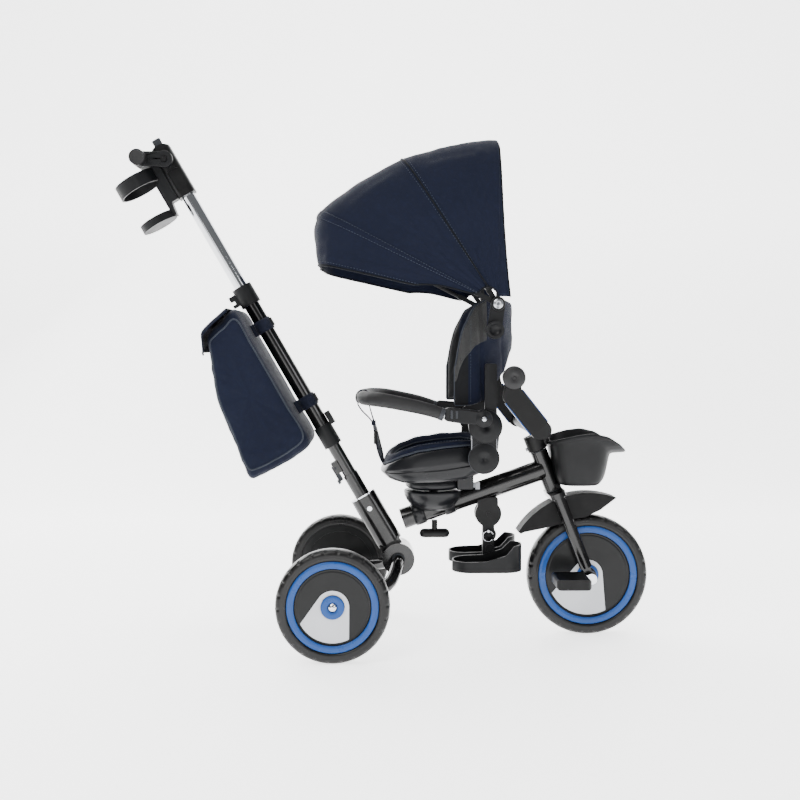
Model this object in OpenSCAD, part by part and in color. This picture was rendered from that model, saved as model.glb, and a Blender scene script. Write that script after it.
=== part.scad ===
// Children's push-along tricycle with a swivelling seat, a folding hood and a rear push bar.
// Millimetres. +X forwards, +Z up, the floor at Z = 0, the middle of the footprint at the origin.

/* [Wheels] */
// Radius of the front wheel
front_r = 125; // [122:1:128]
// Radius of the two rear wheels
rear_r = 109; // [106:1:111]
// Width of the front tyre
front_tyre_w = 44; // [40:1:46]
// Width of a rear tyre
rear_tyre_w = 42; // [38:1:44]
// Distance from the middle of the footprint forward to the front axle
front_axle_x = 424; // [422:1:426]
// Position of the rear axle, behind the middle
rear_axle_x = -98; // [-100:1:-96]
// Distance between the middles of the rear tyres
track = 440; // [438:1:446]
// Radius of all the wheel axles
axle_r = 6; // [5:0.5:7]

/* [Frame] */
// Lean of the steering axis from vertical, in degrees
head_angle = 21.5; // [21:0.5:22]
// Rise of the main tube towards the front, in degrees
tube_rise = 19.4; // [19:0.2:20]
// Diameter of the main tube
tube_d = 43; // [41:1:44]
// Position of the folding hub, along X
hub_x = 30; // [29:1:31]
// Height of the folding hub
hub_z = 163; // [162:1:164]
// Radius of the folding hub
hub_r = 33; // [31:1:34]

/* [Push bar] */
// Lean of the push bar from vertical, in degrees
bar_lean = 30; // [29.5:0.5:30.5]
// Outer radius of the black outer tube
bar_r = 16; // [15.5:0.5:16.5]
// Radius of the bright inner tube
inner_r = 14; // [13:0.5:14]
// Inside radius of the cup ring
cup_r = 41; // [38:1:42]

/* [Seat] */
// Position of the seat's turning axis, along X
swivel_x = 103; // [102:1:104]
// Half the width of the seat shell
seat_half = 120; // [116:1:120]
// Half the distance between the guard rail's two sides
rail_half = 152; // [151:1:154]
// Radius of the rail's foam
rail_r = 13.5; // [12:0.5:14]

/* [Hood] */
// Half the width of the hood's bows
bow_half = 162; // [161:1:163]
// Angle of the rear bow round the hood's pivot, from straight ahead
rear_bow_a = 91; // [89:1:92]
// Angle of the middle bow
mid_bow_a = 123; // [121:1:124]
// Angle of the front bow
front_bow_a = 153; // [151:1:154]
// Angle of the visor's lower edge
visor_a = 168; // [167:1:169]

/* [Hidden] */
$fn = 48;
black = "#202226";
dark = "#33363b";
grey = "#5a5d62";
blue = "#3c6eb0";
navy = "#1b2740";
silver = "#c8cacc";

// ---- curves and sheets ----

function unit(v) = v / norm(v);
function bend(a, b, c, d, t) = 0.5 * (2 * b + (c - a) * t + (2 * a - 5 * b + 4 * c - d) * t * t
    + (3 * b - a - 3 * c + d) * t * t * t);
// A smooth line through the points p, with a number of steps between each two.
function smooth(p, steps) = let (n = len(p) - 1) concat(
    [for (i = [0 : n - 1], k = [0 : steps - 1])
        bend(p[max(i - 1, 0)], p[i], p[i + 1], p[min(i + 2, n)], k / steps)],
    [p[n]]);
function heading(p, i) = unit(p[min(i + 1, len(p) - 1)] - p[max(i - 1, 0)]);

// A round bar of radius r along a line of points. normal is never parallel to the line.
module sweep(path, r, normal = [0, 1, 0], sides = 16) {
    n = len(path);
    points = [for (i = [0 : n - 1])
        let (t = heading(path, i), b = unit(cross(t, normal)), c = cross(t, b))
            for (k = [0 : sides - 1])
                path[i] + r * (cos(360 * k / sides) * b + sin(360 * k / sides) * c)];
    ends = [[for (k = [sides - 1 : -1 : 0]) k], [for (k = [0 : sides - 1]) (n - 1) * sides + k]];
    skin = [for (i = [0 : n - 2], k = [0 : sides - 1])
        let (m = (k + 1) % sides)
            [i * sides + k, i * sides + m, (i + 1) * sides + m, (i + 1) * sides + k]];
    polyhedron([for (q = points) q], [for (f = concat(ends, skin)) [for (j = [len(f) - 1 : -1 : 0]) f[j]]],
        convexity = 8);
}

// A closed sheet between two grids of points, outer and inner, of the same size.
module sheet(outer, inner) {
    rows = len(outer);
    cols = len(outer[0]);
    base = rows * cols;
    points = concat([for (row = outer) for (p = row) p], [for (row = inner) for (p = row) p]);
    function at(i, j, side) = side * base + i * cols + j;
    faces = [for (i = [0 : rows - 2], j = [0 : cols - 2]) each [
        [at(i, j, 0), at(i + 1, j, 0), at(i + 1, j + 1, 0)],
        [at(i, j, 0), at(i + 1, j + 1, 0), at(i, j + 1, 0)],
        [at(i, j, 1), at(i + 1, j + 1, 1), at(i + 1, j, 1)],
        [at(i, j, 1), at(i, j + 1, 1), at(i + 1, j + 1, 1)]]];
    sides = [for (i = [0 : rows - 2]) each [
        [at(i, 0, 0), at(i, 0, 1), at(i + 1, 0, 1)],
        [at(i, 0, 0), at(i + 1, 0, 1), at(i + 1, 0, 0)],
        [at(i, cols - 1, 0), at(i + 1, cols - 1, 1), at(i, cols - 1, 1)],
        [at(i, cols - 1, 0), at(i + 1, cols - 1, 0), at(i + 1, cols - 1, 1)]]];
    caps = [for (j = [0 : cols - 2]) each [
        [at(0, j, 0), at(0, j + 1, 1), at(0, j, 1)],
        [at(0, j, 0), at(0, j + 1, 0), at(0, j + 1, 1)],
        [at(rows - 1, j, 0), at(rows - 1, j, 1), at(rows - 1, j + 1, 1)],
        [at(rows - 1, j, 0), at(rows - 1, j + 1, 1), at(rows - 1, j + 1, 0)]]];
    polyhedron(points, concat(faces, sides, caps), convexity = 8);
}

// ---- placing ----

// The part's left side and its mirror image on the right.
module both_sides() {
    children();
    mirror([0, 1, 0]) children();
}
// A round bar along Y at (x, z), from y0 to y1.
module rod_y(x, z, r, y0, y1) {
    translate([x, y0, z]) rotate([-90, 0, 0]) cylinder(r = r, h = y1 - y0);
}
// A flat shape drawn in X and Z, as thick as the stretch from y0 to y1.
module slab_y(y0, y1) {
    translate([0, y1, 0]) rotate([90, 0, 0]) linear_extrude(y1 - y0) children();
}
// The push bar's own frame: Z along the bar from the hub, X to its front.
module on_bar(s = 0, n = 0) {
    translate([hub_x, 0, hub_z]) rotate([0, -bar_lean, 0]) translate([n, 0, s]) children();
}
// The steering frame: Z up the steering axis from the front axle, X to its front.
module on_steer(t = 0, n = 0) {
    translate([front_axle_x, 0, front_r]) rotate([0, -head_angle, 0]) translate([n, 0, t]) children();
}
// The main tube's frame: X along the tube, its middle below the seat's turning axis.
tube_r = tube_d / 2;
tube_mid_z = 263.5;
module on_tube() {
    translate([swivel_x, 0, tube_mid_z]) rotate([0, -tube_rise, 0]) children();
}

// ---- plain shapes ----

// A flat bar with round ends, its length along X.
module stadium(length, width) {
    square([length - width, width], center = true);
    translate([(length - width) / 2, 0]) circle(d = width);
    translate([(width - length) / 2, 0]) circle(d = width);
}
// A rectangle with rounded corners, from low to high.
module rounded(low, high, r) {
    size = high - low;
    translate([low[0] + r, low[1]]) square([size[0] - 2 * r, size[1]]);
    translate([low[0], low[1] + r]) square([size[0], size[1] - 2 * r]);
    for (x = [low[0] + r, high[0] - r], y = [low[1] + r, high[1] - r])
        translate([x, y]) circle(r = r);
}
// A ring round Z, between two radii.
module ring(r_in, r_out, h) {
    difference() {
        cylinder(r = r_out, h = h);
        translate([0, 0, -1]) cylinder(r = r_in, h = h + 2);
    }
}

// ---- main frame ----

socket_top = 145;
pin_r = 8;
module steerer_bore(r, t0, t1) {
    on_steer(t0) cylinder(r = r, h = t1 - t0);
}
module main_frame() {
    color(black) difference() {
        union() {
            on_bar(34.5) linear_extrude(socket_top - 34.5) stadium(54, 40);
            on_bar(20) linear_extrude(20) square([46, 35], center = true);
            rod_y(hub_x, hub_z, hub_r, -18, 18);
            on_tube() translate([-68, 0, 0]) rotate([0, 90, 0]) cylinder(r = tube_r, h = 310);
            on_steer(190) cylinder(r = 17.5, h = 86);
        }
        steerer_bore(15, 185, 280);
        on_tube() translate([-40, 0, 0]) rotate([0, 90, 0]) cylinder(r = tube_r - 2, h = 282);
        on_bar(46) linear_extrude(socket_top - 40) stadium(48, 34);
        on_bar(118) rod_y(0, 0, 5.1, -24, -16);
        rod_y(hub_x, hub_z, pin_r + 0.05, -20, 20);
    }
}
module head_bush(t_body, t_flange) {
    difference() {
        union() {
            on_steer(t_body) cylinder(r = 14.9, h = 10);
            on_steer(t_flange) cylinder(r = 17.5, h = 1.6);
        }
        steerer_bore(11.1, 180, 290);
    }
}
module head_bushes() {
    color(grey) {
        head_bush(190, 188.3);
        head_bush(266.1, 276.1);
    }
}
module fold_pin() {
    color(silver) rod_y(hub_x, hub_z, pin_r, -31, 31);
}
module socket_liner() {
    color(silver) difference() {
        union() {
            on_bar(76) linear_extrude(socket_top - 76) stadium(47.8, 33.8);
            on_bar(socket_top + 0.1) linear_extrude(3) stadium(54, 40);
            on_bar(118) rod_y(0, 0, 5, -22, -18);
        }
        on_bar(70) cylinder(r = 15.8, h = 90);
    }
}
// The seat's round base, which straddles the main tube.
base_top = 304;
module turntable_base() {
    color(dark) difference() {
        translate([swivel_x, 0, 262]) cylinder(r1 = 22, r2 = 60, h = base_top - 262);
        on_tube() rotate([0, 90, 0]) cylinder(r = tube_r + 0.1, h = 200, center = true);
        translate([swivel_x, 0, 288]) cylinder(r = 10.1, h = 30);
    }
}
rest_x = 217;
rest_z = 253;
module footrest_bracket() {
    color(dark) difference() {
        union() {
            both_sides() rod_y(rest_x, rest_z, 27, 10, 16);
            slab_y(-16, 16) rounded([rest_x - 22, rest_z + 14], [rest_x + 20, rest_z + 34], 4);
        }
        on_tube() rotate([0, 90, 0]) cylinder(r = tube_r + 0.1, h = 400, center = true);
        rod_y(rest_x, rest_z, 27.5, -9.9, 9.9);
    }
    color(silver) rod_y(rest_x, rest_z, 4, -17.5, 17.5);
}
knob_x = 106;
module clamp_knob() {
    color(black) {
        translate([knob_x, 0, 211]) rotate([0, 90, 0]) cylinder(r = 9.5, h = 44, center = true);
        for (x = [-22, 22]) translate([knob_x + x, 0, 211]) sphere(r = 9.4);
        translate([knob_x, 0, 215]) cylinder(r = 6, h = 23.8);
    }
}

// ---- rear frame and wheels ----

wheel_y = track / 2;
module rear_arm() {
    difference() {
        union() {
            rod_y(hub_x, hub_z, hub_r, 18.4, 40);
            sweep(smooth([[hub_x, 34, hub_z - 2], [27, 74, 158], [5, 124, 126], [-58, 164, 112],
                [rear_axle_x, 179, rear_r]], 5), 12.5, [0, 0, 1], 20);
            rod_y(rear_axle_x, rear_r, 15, 166, 194);
        }
        rod_y(hub_x, hub_z, pin_r + 0.08, 10, 33);
        rod_y(hub_x, hub_z, 13.4, 33, 50);
        rod_y(rear_axle_x, rear_r, axle_r + 0.05, 160, 200);
    }
}
module rear_arms() {
    color(black) both_sides() rear_arm();
}
module rear_axles() {
    color(silver) both_sides() {
        rod_y(rear_axle_x, rear_r, axle_r, 160.5, 236);
        intersection() {
            translate([rear_axle_x, 234, rear_r]) sphere(r = 10);
            rod_y(rear_axle_x, rear_r, 12, 236, 250);
        }
    }
}
module fold_button() {
    color(grey) rod_y(hub_x, hub_z, 13, -46, -36.5);
}
// A tyre's outline from its seat, with a crowned tread.
function tyre_outline(r, w, deep) = concat([[r - deep, 2 - w / 2]],
    [for (a = [-90 : 10 : 90]) [r - deep + 3 + (deep - 3) * pow(cos(a), 0.55),
        sign(sin(a)) * w / 2 * pow(abs(sin(a)), 0.55)]],
    [[r - deep, w / 2 - 2]]);
module tyre(r, w, deep) {
    rotate_extrude($fn = 96) polygon(tyre_outline(r, w, deep));
}
// A plastic wheel body: barrel, web and hub, with a flat cover plate on the sides in covers.
module rim(r_seat, r_in, half, hub_half, covers) {
    ring(r_in, r_seat - 0.05, half);
    translate([0, 0, -half]) ring(r_in, r_seat - 0.05, half);
    translate([0, 0, -3]) ring(axle_r + 0.06, r_in + 0.5, 6);
    translate([0, 0, -hub_half]) ring(axle_r + 0.06, 17, 2 * hub_half);
    for (s = covers) scale([1, 1, s]) translate([0, 0, 12]) ring(16, r_in + 0.5, 3);
}
module trim_rings(r_out, r_in, z) {
    translate([0, 0, z]) ring(r_in, r_out, 2.5);
    translate([0, 0, 15.05]) ring(17.1, 22.5, 3);
}
// Places a wheel whose outer side is local +Z at the rear, on the left with side = 1.
module at_rear(side) {
    translate([rear_axle_x, side * wheel_y, rear_r]) rotate([-90 * side, 0, 0]) children();
}
rear_seat_r = rear_r - 21;
module rear_tyre(side) {
    color(black) at_rear(side) tyre(rear_r, rear_tyre_w, 21);
}
module rear_rim(side) {
    color(dark) at_rear(side) rim(rear_seat_r, 73, 17, 15, [1]);
}
module rear_trim(side) {
    color(blue) at_rear(side) trim_rings(rear_seat_r - 0.5, 73, 17.05);
}

// ---- steering, front wheel and handlebar ----

leg_y = 41;
module fork() {
    color(black) {
        both_sides() on_steer(22) translate([0, leg_y, 0]) cylinder(r = 12.5, h = 160);
        on_steer(178) linear_extrude(10) rotate(90) stadium(118, 34);
        on_steer(183) cylinder(r = 11, h = 129);
    }
    color(silver) both_sides() difference() {
        union() {
            rod_y(front_axle_x, front_r, 14, 36, 46);
            on_steer(9) translate([-8, 36.5, 0]) cube([16, 9, 20]);
        }
        rod_y(front_axle_x, front_r, axle_r + 0.06, 30, 50);
    }
}
guard_out = 172;
guard_low = 122;
module mudguard() {
    color(black) on_steer(170) linear_extrude(7.9) rotate(90) stadium(50, 24);
    color(black) difference() {
        translate([front_axle_x, 0, front_r]) rotate([90, 0, 0]) rotate([0, 0, 70])
            rotate_extrude(angle = 78, $fn = 96) difference() {
                translate([guard_low, -27]) square([guard_out - guard_low, 54]);
                translate([guard_low - 1, -24]) square([guard_out - guard_low - 2.5, 48]);
            }
        slab_y(-40, 40) polygon([[270, 160], [270, 205], [290, 216], [330, 224], [362, 232],
            [370, 160]]);
        slab_y(-40, 40) polygon([[402, 240], [448, 262], [482, 288], [500, 280], [480, 220],
            [402, 220]]);
    }
}
arm_low = [299, 441];
arm_high = [248, 505];
arm_r = 20;
arm_in = 168;
arm_out = 188;
module handlebar_arm() {
    hull() {
        rod_y(arm_low[0], arm_low[1], arm_r, arm_in, arm_out);
        rod_y(arm_high[0], arm_high[1], arm_r, arm_in, arm_out);
    }
    hull() {
        rod_y(arm_high[0], arm_high[1], 18, arm_in + 2, arm_out - 2);
        rod_y(grip_x, grip_z, 13, arm_in + 2, arm_out - 2);
    }
    rod_y(grip_x, grip_z, 9, 148, 218);
    rod_y(318, 427, 14, 0, 66);
    hull() {
        rod_y(318, 427, 14, 60, 66);
        rod_y(arm_low[0] + 5, arm_low[1] - 2, 17.5, arm_in - 4, arm_out);
    }
}
module handlebar() {
    color(black) difference() {
        union() {
            both_sides() handlebar_arm();
            on_steer(280) cylinder(r = 20.5, h = 32);
            intersection() {
                on_steer(284) cylinder(r = 30, h = 22);
                on_steer(284) translate([15, -12, 0]) cube([20, 24, 22]);
            }
        }
        steerer_bore(11.06, 270, 314);
        on_steer(288) rotate([0, -90, 0]) cylinder(r = 4, h = 24);
    }
}
arm_turn = atan2(arm_high[1] - arm_low[1], arm_high[0] - arm_low[0]);
arm_run = norm(arm_high - arm_low);
module handlebar_trim() {
    color(blue) both_sides() for (s = [-1, 1])
        translate([arm_low[0], (arm_in + arm_out) / 2, arm_low[1]]) rotate([0, -arm_turn, 0])
            translate([2, -7, s * (arm_r + 1.05) - 1]) cube([arm_run - 4, 14, 2]);
}
grip_x = 245;
grip_z = 541;
module grips() {
    color(grey) both_sides() {
        difference() {
            union() {
                rod_y(grip_x, grip_z, 15, 146, arm_in + 1.8);
                rod_y(grip_x, grip_z, 15, arm_out - 1.8, 217);
                rod_y(grip_x, grip_z - 4, 22, 216, 222);
            }
            rod_y(grip_x, grip_z, 9.05, 140, 218.1);
        }
    }
}
// The basket's outline seen from the side, grown outwards by g.
function basket_side(g, up) = [[343 - g, 380], [342 - g, 407 + up], [370, 420 + up],
    [396, 427 + up], [424, 427 + up], [452, 422 + up], [477 + g, 412 + up], [488 + g, 388],
    [472 + g, 340], [450 + g, 314 - g], [396, 309 - g], [365 - g, 314 - g]];
module basket_body(g, up) {
    intersection() {
        slab_y(-100, 100) polygon(basket_side(g, up));
        translate([0, 0, 290]) linear_extrude(220) rounded([342 - g, -82 - g], [490 + g, 82 + g], 34);
    }
}
module basket() {
    color(dark) difference() {
        union() {
            difference() {
                basket_body(0, 0);
                basket_body(-3, 40);
            }
            intersection() {
                basket_body(0, 0);
                on_steer(150) cylinder(r = 33.2, h = 200);
            }
        }
        on_steer(140) cylinder(r = 33.05 - 3, h = 220);
    }
}
module handlebar_button() {
    color(grey) on_steer(288, -24) rotate([0, 90, 0]) cylinder(r = 3.6, h = 7);
}
module at_front() {
    translate([front_axle_x, 0, front_r]) rotate([-90, 0, 0]) children();
}
front_seat_r = front_r - 21.5;
module front_tyre() {
    color(black) at_front() tyre(front_r, front_tyre_w, 21.5);
}
module front_rim() {
    color(dark) at_front() rim(front_seat_r, 88, 18, 24, [-1, 1]);
}
module front_trim() {
    color(blue) for (s = [-1, 1]) at_front() scale([1, 1, s]) trim_rings(front_seat_r - 0.5, 88, 18.05);
}
crank = 50;
crank_turn = 7;
pedal_dx = crank * cos(crank_turn);
pedal_dz = crank * sin(crank_turn);
// The near crank is on the right, where side is -1, and points back.
module crank_arm(side) {
    y0 = side > 0 ? 56 : -64;
    rod_y(front_axle_x, front_r, 11, y0, y0 + 8);
    slab_y(y0, y0 + 8) translate([front_axle_x, front_r]) rotate(-crank_turn)
        translate([side * crank / 2, 0]) stadium(crank + 14, 14);
    rod_y(front_axle_x + side * pedal_dx, front_r - side * pedal_dz, 4,
        side > 0 ? 60 : -148, side > 0 ? 148 : -60);
}
module crank_axle() {
    color(silver) {
        rod_y(front_axle_x, front_r, axle_r, -60, 60);
        crank_arm(-1);
        crank_arm(1);
    }
}
module pedal(side) {
    x = front_axle_x + side * pedal_dx;
    z = front_r - side * pedal_dz;
    color(black) difference() {
        intersection() {
            translate([0, 0, z - 10.5]) linear_extrude(21)
                rounded([x - 35, side > 0 ? 68 : -152], [x + 35, side > 0 ? 152 : -68], 12);
            slab_y(-160, 160) rounded([x - 35, z - 10.5], [x + 35, z + 10.5], 7);
        }
        rod_y(x, z, 4.08, side > 0 ? 60 : -149, side > 0 ? 149 : -60);
    }
}

// ---- footrest ----

tray_y = 56;
module tray_outline(r) {
    rounded([139 + r, tray_y - 42 + r], [280 - r, tray_y + 42 - r], 38 - r);
}
module footrest() {
    color(dark) {
        difference() {
            rod_y(rest_x, rest_z, 26, -9.5, 9.5);
            rod_y(rest_x, rest_z, 4.07, -10, 10);
        }
        slab_y(-9.5, 9.5) rounded([rest_x - 11, 158], [rest_x + 13, 240], 3);
        translate([rest_x + 3, 0, 208]) sphere(r = 15);
        slab_y(-16.4, 16.4) rounded([rest_x - 22, 150], [rest_x + 24, 164], 4);
        both_sides() difference() {
            intersection() {
                translate([0, 0, 145]) linear_extrude(56) tray_outline(0);
                slab_y(0, 120) polygon([[135, 145], [135, 166], [205, 168], [245, 180],
                    [262, 198], [284, 199], [290, 145]]);
            }
            translate([0, 0, 149]) linear_extrude(60) tray_outline(3);
        }
    }
    color(silver) translate([rest_x + 4, 11, 179]) rotate([90, 0, 0]) ring(8, 10, 22);
}

// ---- seat ----

recline_x = 196;
recline_z = 380;
seat_side = [[-6, 346], [6, 334], [29, 325], [161, 333], [215, 350], [226, 370], [226, 396],
    [166, 401], [68, 389], [8, 360]];
seat_hollow = [[-12, 362], [4, 346], [32, 331.5], [159, 339.5], [211, 355], [220, 372], [220, 410],
    [166, 420], [68, 410], [-8, 380]];
module seat_shell() {
    color(dark) difference() {
        union() {
            intersection() {
                slab_y(-seat_half, seat_half) polygon(seat_side);
                translate([0, 0, 300]) linear_extrude(120)
                    rounded([-6, -seat_half], [226, seat_half], 30);
            }
            translate([swivel_x, 0, base_top + 0.3]) cylinder(r1 = 46, r2 = 58, h = 5);
            translate([swivel_x, 0, base_top + 5]) cylinder(r = 58, h = 22);
            translate([swivel_x, 0, 290.4]) cylinder(r = 10, h = 18);
            slab_y(-40, -20) polygon([[150, 305], [184, 305], [184, 345], [150, 340]]);
            both_sides() rod_y(recline_x, recline_z, 8, seat_half - 5, 129.5);
        }
        intersection() {
            slab_y(-seat_half + 6, seat_half - 6) polygon(seat_hollow);
            translate([0, 0, 300]) linear_extrude(140)
                rounded([-60, -seat_half + 6], [220, seat_half - 6], 24);
        }
        translate([158, -36, 310]) cube([40, 13, 10]);
    }
}
module seat_cushion() {
    color(navy) intersection() {
        slab_y(-112, 112) polygon([[0, 353], [33, 333], [158, 341], [209, 357], [218, 374], [218, 405],
            [210, 413], [166, 416], [68, 397], [8, 374], [-2, 364]]);
        translate([0, 0, 300]) linear_extrude(140) rounded([-2, -112], [218, 112], 24);
    }
}
module seat_latch() {
    color(grey) {
        translate([160, -35.7, 310.3]) cube([34, 12.4, 9.4]);
        translate([188, -39, 307]) cube([9, 18, 13]);
    }
}

// ---- backrest ----

cover_x = 199;
cover_z = 443;
rail_x = 194;
rail_z = 459;
arm_y = 121.5;
module recline_arms() {
    color(dark) both_sides() {
        difference() {
            union() {
                rod_y(recline_x, recline_z, 30, arm_y, 138);
                slab_y(arm_y, 136) polygon([[170, 385], [222, 385], [228, 440], [172, 440]]);
                rod_y(cover_x, cover_z, 33, arm_y, 140);
                slab_y(arm_y, 130) rounded([198, 440], [222, 566], 5);
            }
            rod_y(recline_x, recline_z, 8.1, arm_y - 5, 130);
        }
        rod_y(rail_x, rail_z, 6, 139, 158);
    }
}
back_x = 128;
back_r = 132;
back_side = [[142, 485], [147, 585], [156, 626], [178, 675], [200, 690], [245, 690], [262, 660],
    [262, 640], [261, 594], [243, 549], [219, 528], [200, 490]];
pad_side = [[146, 490], [151, 582], [160, 622], [181, 668], [203, 684], [243, 684], [257, 656],
    [256, 600], [238, 556], [212, 532], [194, 495]];
module curved_back(r_in, r_out, side) {
    intersection() {
        slab_y(-r_out, r_out) polygon(side);
        translate([back_x, 0, 470]) ring(r_in, r_out, 240);
    }
}
hang_x = 213;
hang_z = 631;
module backrest_shell() {
    color(black) {
        curved_back(back_r - 6, back_r, back_side);
        both_sides() difference() {
            union() {
                slab_y(90, arm_y - 0.1) rounded([200, 500], [222, 560], 5);
                rod_y(hang_x, hang_z, 8, 90, 157.9);
            }
            translate([back_x, 0, 470]) cylinder(r = back_r - 3, h = 240);
        }
    }
}
module backrest_pad() {
    color(navy) curved_back(back_r - 32, back_r - 6.1, pad_side);
}

// ---- guard rail and crotch strap ----

module rail_joints() {
    color(grey) both_sides() difference() {
        union() {
            rod_y(rail_x, rail_z, 16.5, 141, 163);
            slab_y(142, 162) rounded([117, 450], [186, 482], 8);
        }
        rod_y(rail_x, rail_z, 6.08, 130, 160);
    }
}
rail_path = [[112, rail_half, 468.5], [80, rail_half, 479], [31, 149, 492], [-2, 136, 497],
    [-28, 100, 497], [-40, 50, 495], [-42, 0, 494]];
rail_whole = concat(rail_path, [for (i = [5 : -1 : 0])
    [rail_path[i][0], -rail_path[i][1], rail_path[i][2]]]);
module rail_foam() {
    color(black) sweep(smooth(rail_whole, 4), rail_r, [0, 0, 1], 20);
}
module crotch_strap() {
    color(navy) {
        difference() {
            rod_y(-42, 494, 18.5, -14, 14);
            rod_y(-42, 494, 15.6, -15, 15);
        }
        slab_y(-14, 14) polygon([[-50, 478], [-34, 478], [-18, 441], [-15, 400], [-12, 352],
            [-16, 351], [-20, 400], [-24, 441]]);
    }
}

// ---- hood ----

pivot_x = 220;
pivot_z = 682;
function spoke(a) = [cos(a), 0, sin(a)];
// One point of a bow: radius r over the pivot at its middle, w its half width, p across 0 to 180.
function bow_point(r, w, a, r0, p) = [pivot_x, 0, pivot_z]
    + (r0 + (r - r0) * pow(sin(p), 0.34)) * spoke(a)
    + [0, w * sign(cos(p)) * pow(abs(cos(p)), 0.34), 0];
// Angles across a bow, closer together where it turns.
bow_steps = [0, 0.3, 3, 10, 20, 32, 46, 60, 72, 82, 90, 98, 108, 120, 134, 148, 160, 170, 177,
    179.7, 180];
function bow(r, w, a, r0) = [for (p = bow_steps) bow_point(r, w, a, r0, p)];
module bow_tube(r, a, r0) {
    sweep(bow(r, bow_half, a, r0), 4, [-sin(a), 0, cos(a)], 12);
}
rear_r_hood = 325;
mid_r_hood = 341;
front_r_hood = 393;
visor_r_hood = 364;
function hood_r(a) = lookup(a, [[rear_bow_a, rear_r_hood], [106, 331], [mid_bow_a, mid_r_hood],
    [138, 369], [front_bow_a, front_r_hood], [160, 386], [visor_a, visor_r_hood]]);
cloth = 2;
// Cloth over the bows between two angles, its sides starting at radius r0.
module hood_cloth(a0, a1, r0, steps) {
    angles = [for (i = [0 : steps]) a0 + (a1 - a0) * i / steps];
    sheet([for (a = angles) bow(hood_r(a), bow_half + 10, a, r0)],
        [for (a = angles) bow(hood_r(a) - cloth, bow_half + 10 - cloth, a, r0)]);
}
module hood_bow(r, a, y0, y1, socket) {
    bow_tube(r, a, socket);
    both_sides() {
        difference() {
            rod_y(pivot_x, pivot_z, 14, y0, y1);
            rod_y(pivot_x, pivot_z, 5.08, y0 - 1, y1 + 1);
        }
        translate([pivot_x, y0 + 0.3, pivot_z]) rotate([0, -a, 0])
            translate([10, 0, -5]) cube([socket - 8, y1 - y0 - 0.6, 10]);
        translate([pivot_x, y0 + 0.6, pivot_z] + (socket + 2) * spoke(a)) rotate([-90, 0, 0])
            cylinder(r = 5.5, h = 12.4);
    }
}
module hood_brackets() {
    color(dark) {
        both_sides() {
            difference() {
                hull() {
                    rod_y(hang_x, hang_z, 14, 158, 164);
                    rod_y(pivot_x, pivot_z, 14, 158, 164);
                }
                rod_y(hang_x, hang_z, 5.1, 150, 170);
            }
            rod_y(pivot_x, pivot_z, 5, 148, 161);
            rod_y(pivot_x, pivot_z, 9, 161, 167);
        }
        bow_tube(rear_r_hood - 8, rear_bow_a, 12);
    }
}
// The curtain's points behind the rear bow, reaching further back towards its sides.
function curtain(i, shrink) = [for (p = bow_steps)
    bow_point(rear_r_hood - 2 * i - shrink, 171 - shrink, rear_bow_a - 1.2, 14, p)
        + [i * (2.5 + 5 * pow(abs(cos(p)), 0.6)), 0, 0]];
module hood_rear_panel() {
    color(navy) sheet([for (i = [0 : 3]) curtain(i, 0)], [for (i = [0 : 3]) curtain(i, 2)]);
}
module hood_knob(side) {
    color(grey) difference() {
        union() {
            scale([1, side, 1]) {
                rod_y(hang_x, hang_z, 17, 164.3, 184);
                rod_y(hang_x, hang_z, 5, 158.2, 170);
            }
        }
        scale([1, side, 1]) translate([hang_x, 192, hang_z]) sphere(r = 14);
    }
}
module hood_mid_bow() {
    color(dark) hood_bow(mid_r_hood - 8, mid_bow_a, 150, 153.6, 36);
}
module hood_mid_panel() {
    color(navy) hood_cloth(rear_bow_a, mid_bow_a - 0.3, 40, 6);
}
module hood_front_bow() {
    color(dark) hood_bow(front_r_hood - 8, front_bow_a, 154, 157.6, 54);
}
module hood_front_panel() {
    color(navy) hood_cloth(mid_bow_a + 0.3, front_bow_a - 0.3, 40, 6);
}
module hood_visor() {
    color(navy) hood_cloth(front_bow_a, visor_a, 150, 4);
}

// ---- push bar ----

module lower_tube() {
    color(black) difference() {
        union() {
            on_bar(92) cylinder(r = 15.5, h = 108);
            on_bar(199) cylinder(r = 13.5, h = 136);
            both_sides() on_bar(212) translate([-24, 8.4, 0]) cube([14, 2.6, 26]);
        }
        on_bar(80) cylinder(r = 11.5, h = 262);
        on_bar(225, -20) rod_y(0, 0, 2.6, -12, 12);
    }
}
module outer_tube() {
    color(black) on_bar(285) ring(inner_r + 0.1, bar_r, 351);
}
module bar_clamps() {
    color(dark) {
        on_bar(268) ring(13.55, 19, 17);
        on_bar(285) ring(bar_r + 0.05, 19, 30);
        on_bar(308) translate([17, -9, 0]) cube([11, 18, 28]);
        on_bar(322) translate([24, 0, 0]) rod_y(0, 0, 4, -13, 13);
        difference() {
            on_bar(603) union() {
                cylinder(r = 21, h = 42);
                translate([-34, -10, 10]) cube([16, 20, 24]);
            }
            on_bar(600) cylinder(r = bar_r + 0.05, h = 36.05);
            on_bar(600) cylinder(r = inner_r + 0.1, h = 60);
            on_bar(619) translate([-36, -13, 0]) cube([10, 26, 8]);
        }
    }
}
bag_out = [[-23, 300], [-23, 612], [-100, 596], [-112, 560], [-147, 473], [-160, 397],
    [-172, 300], [-164, 286], [-30, 286]];
bag_in = [[-26, 303], [-26, 630], [-97, 612], [-109, 561], [-144, 472], [-157, 396], [-169, 301],
    [-162, 289], [-32, 289]];
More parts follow.
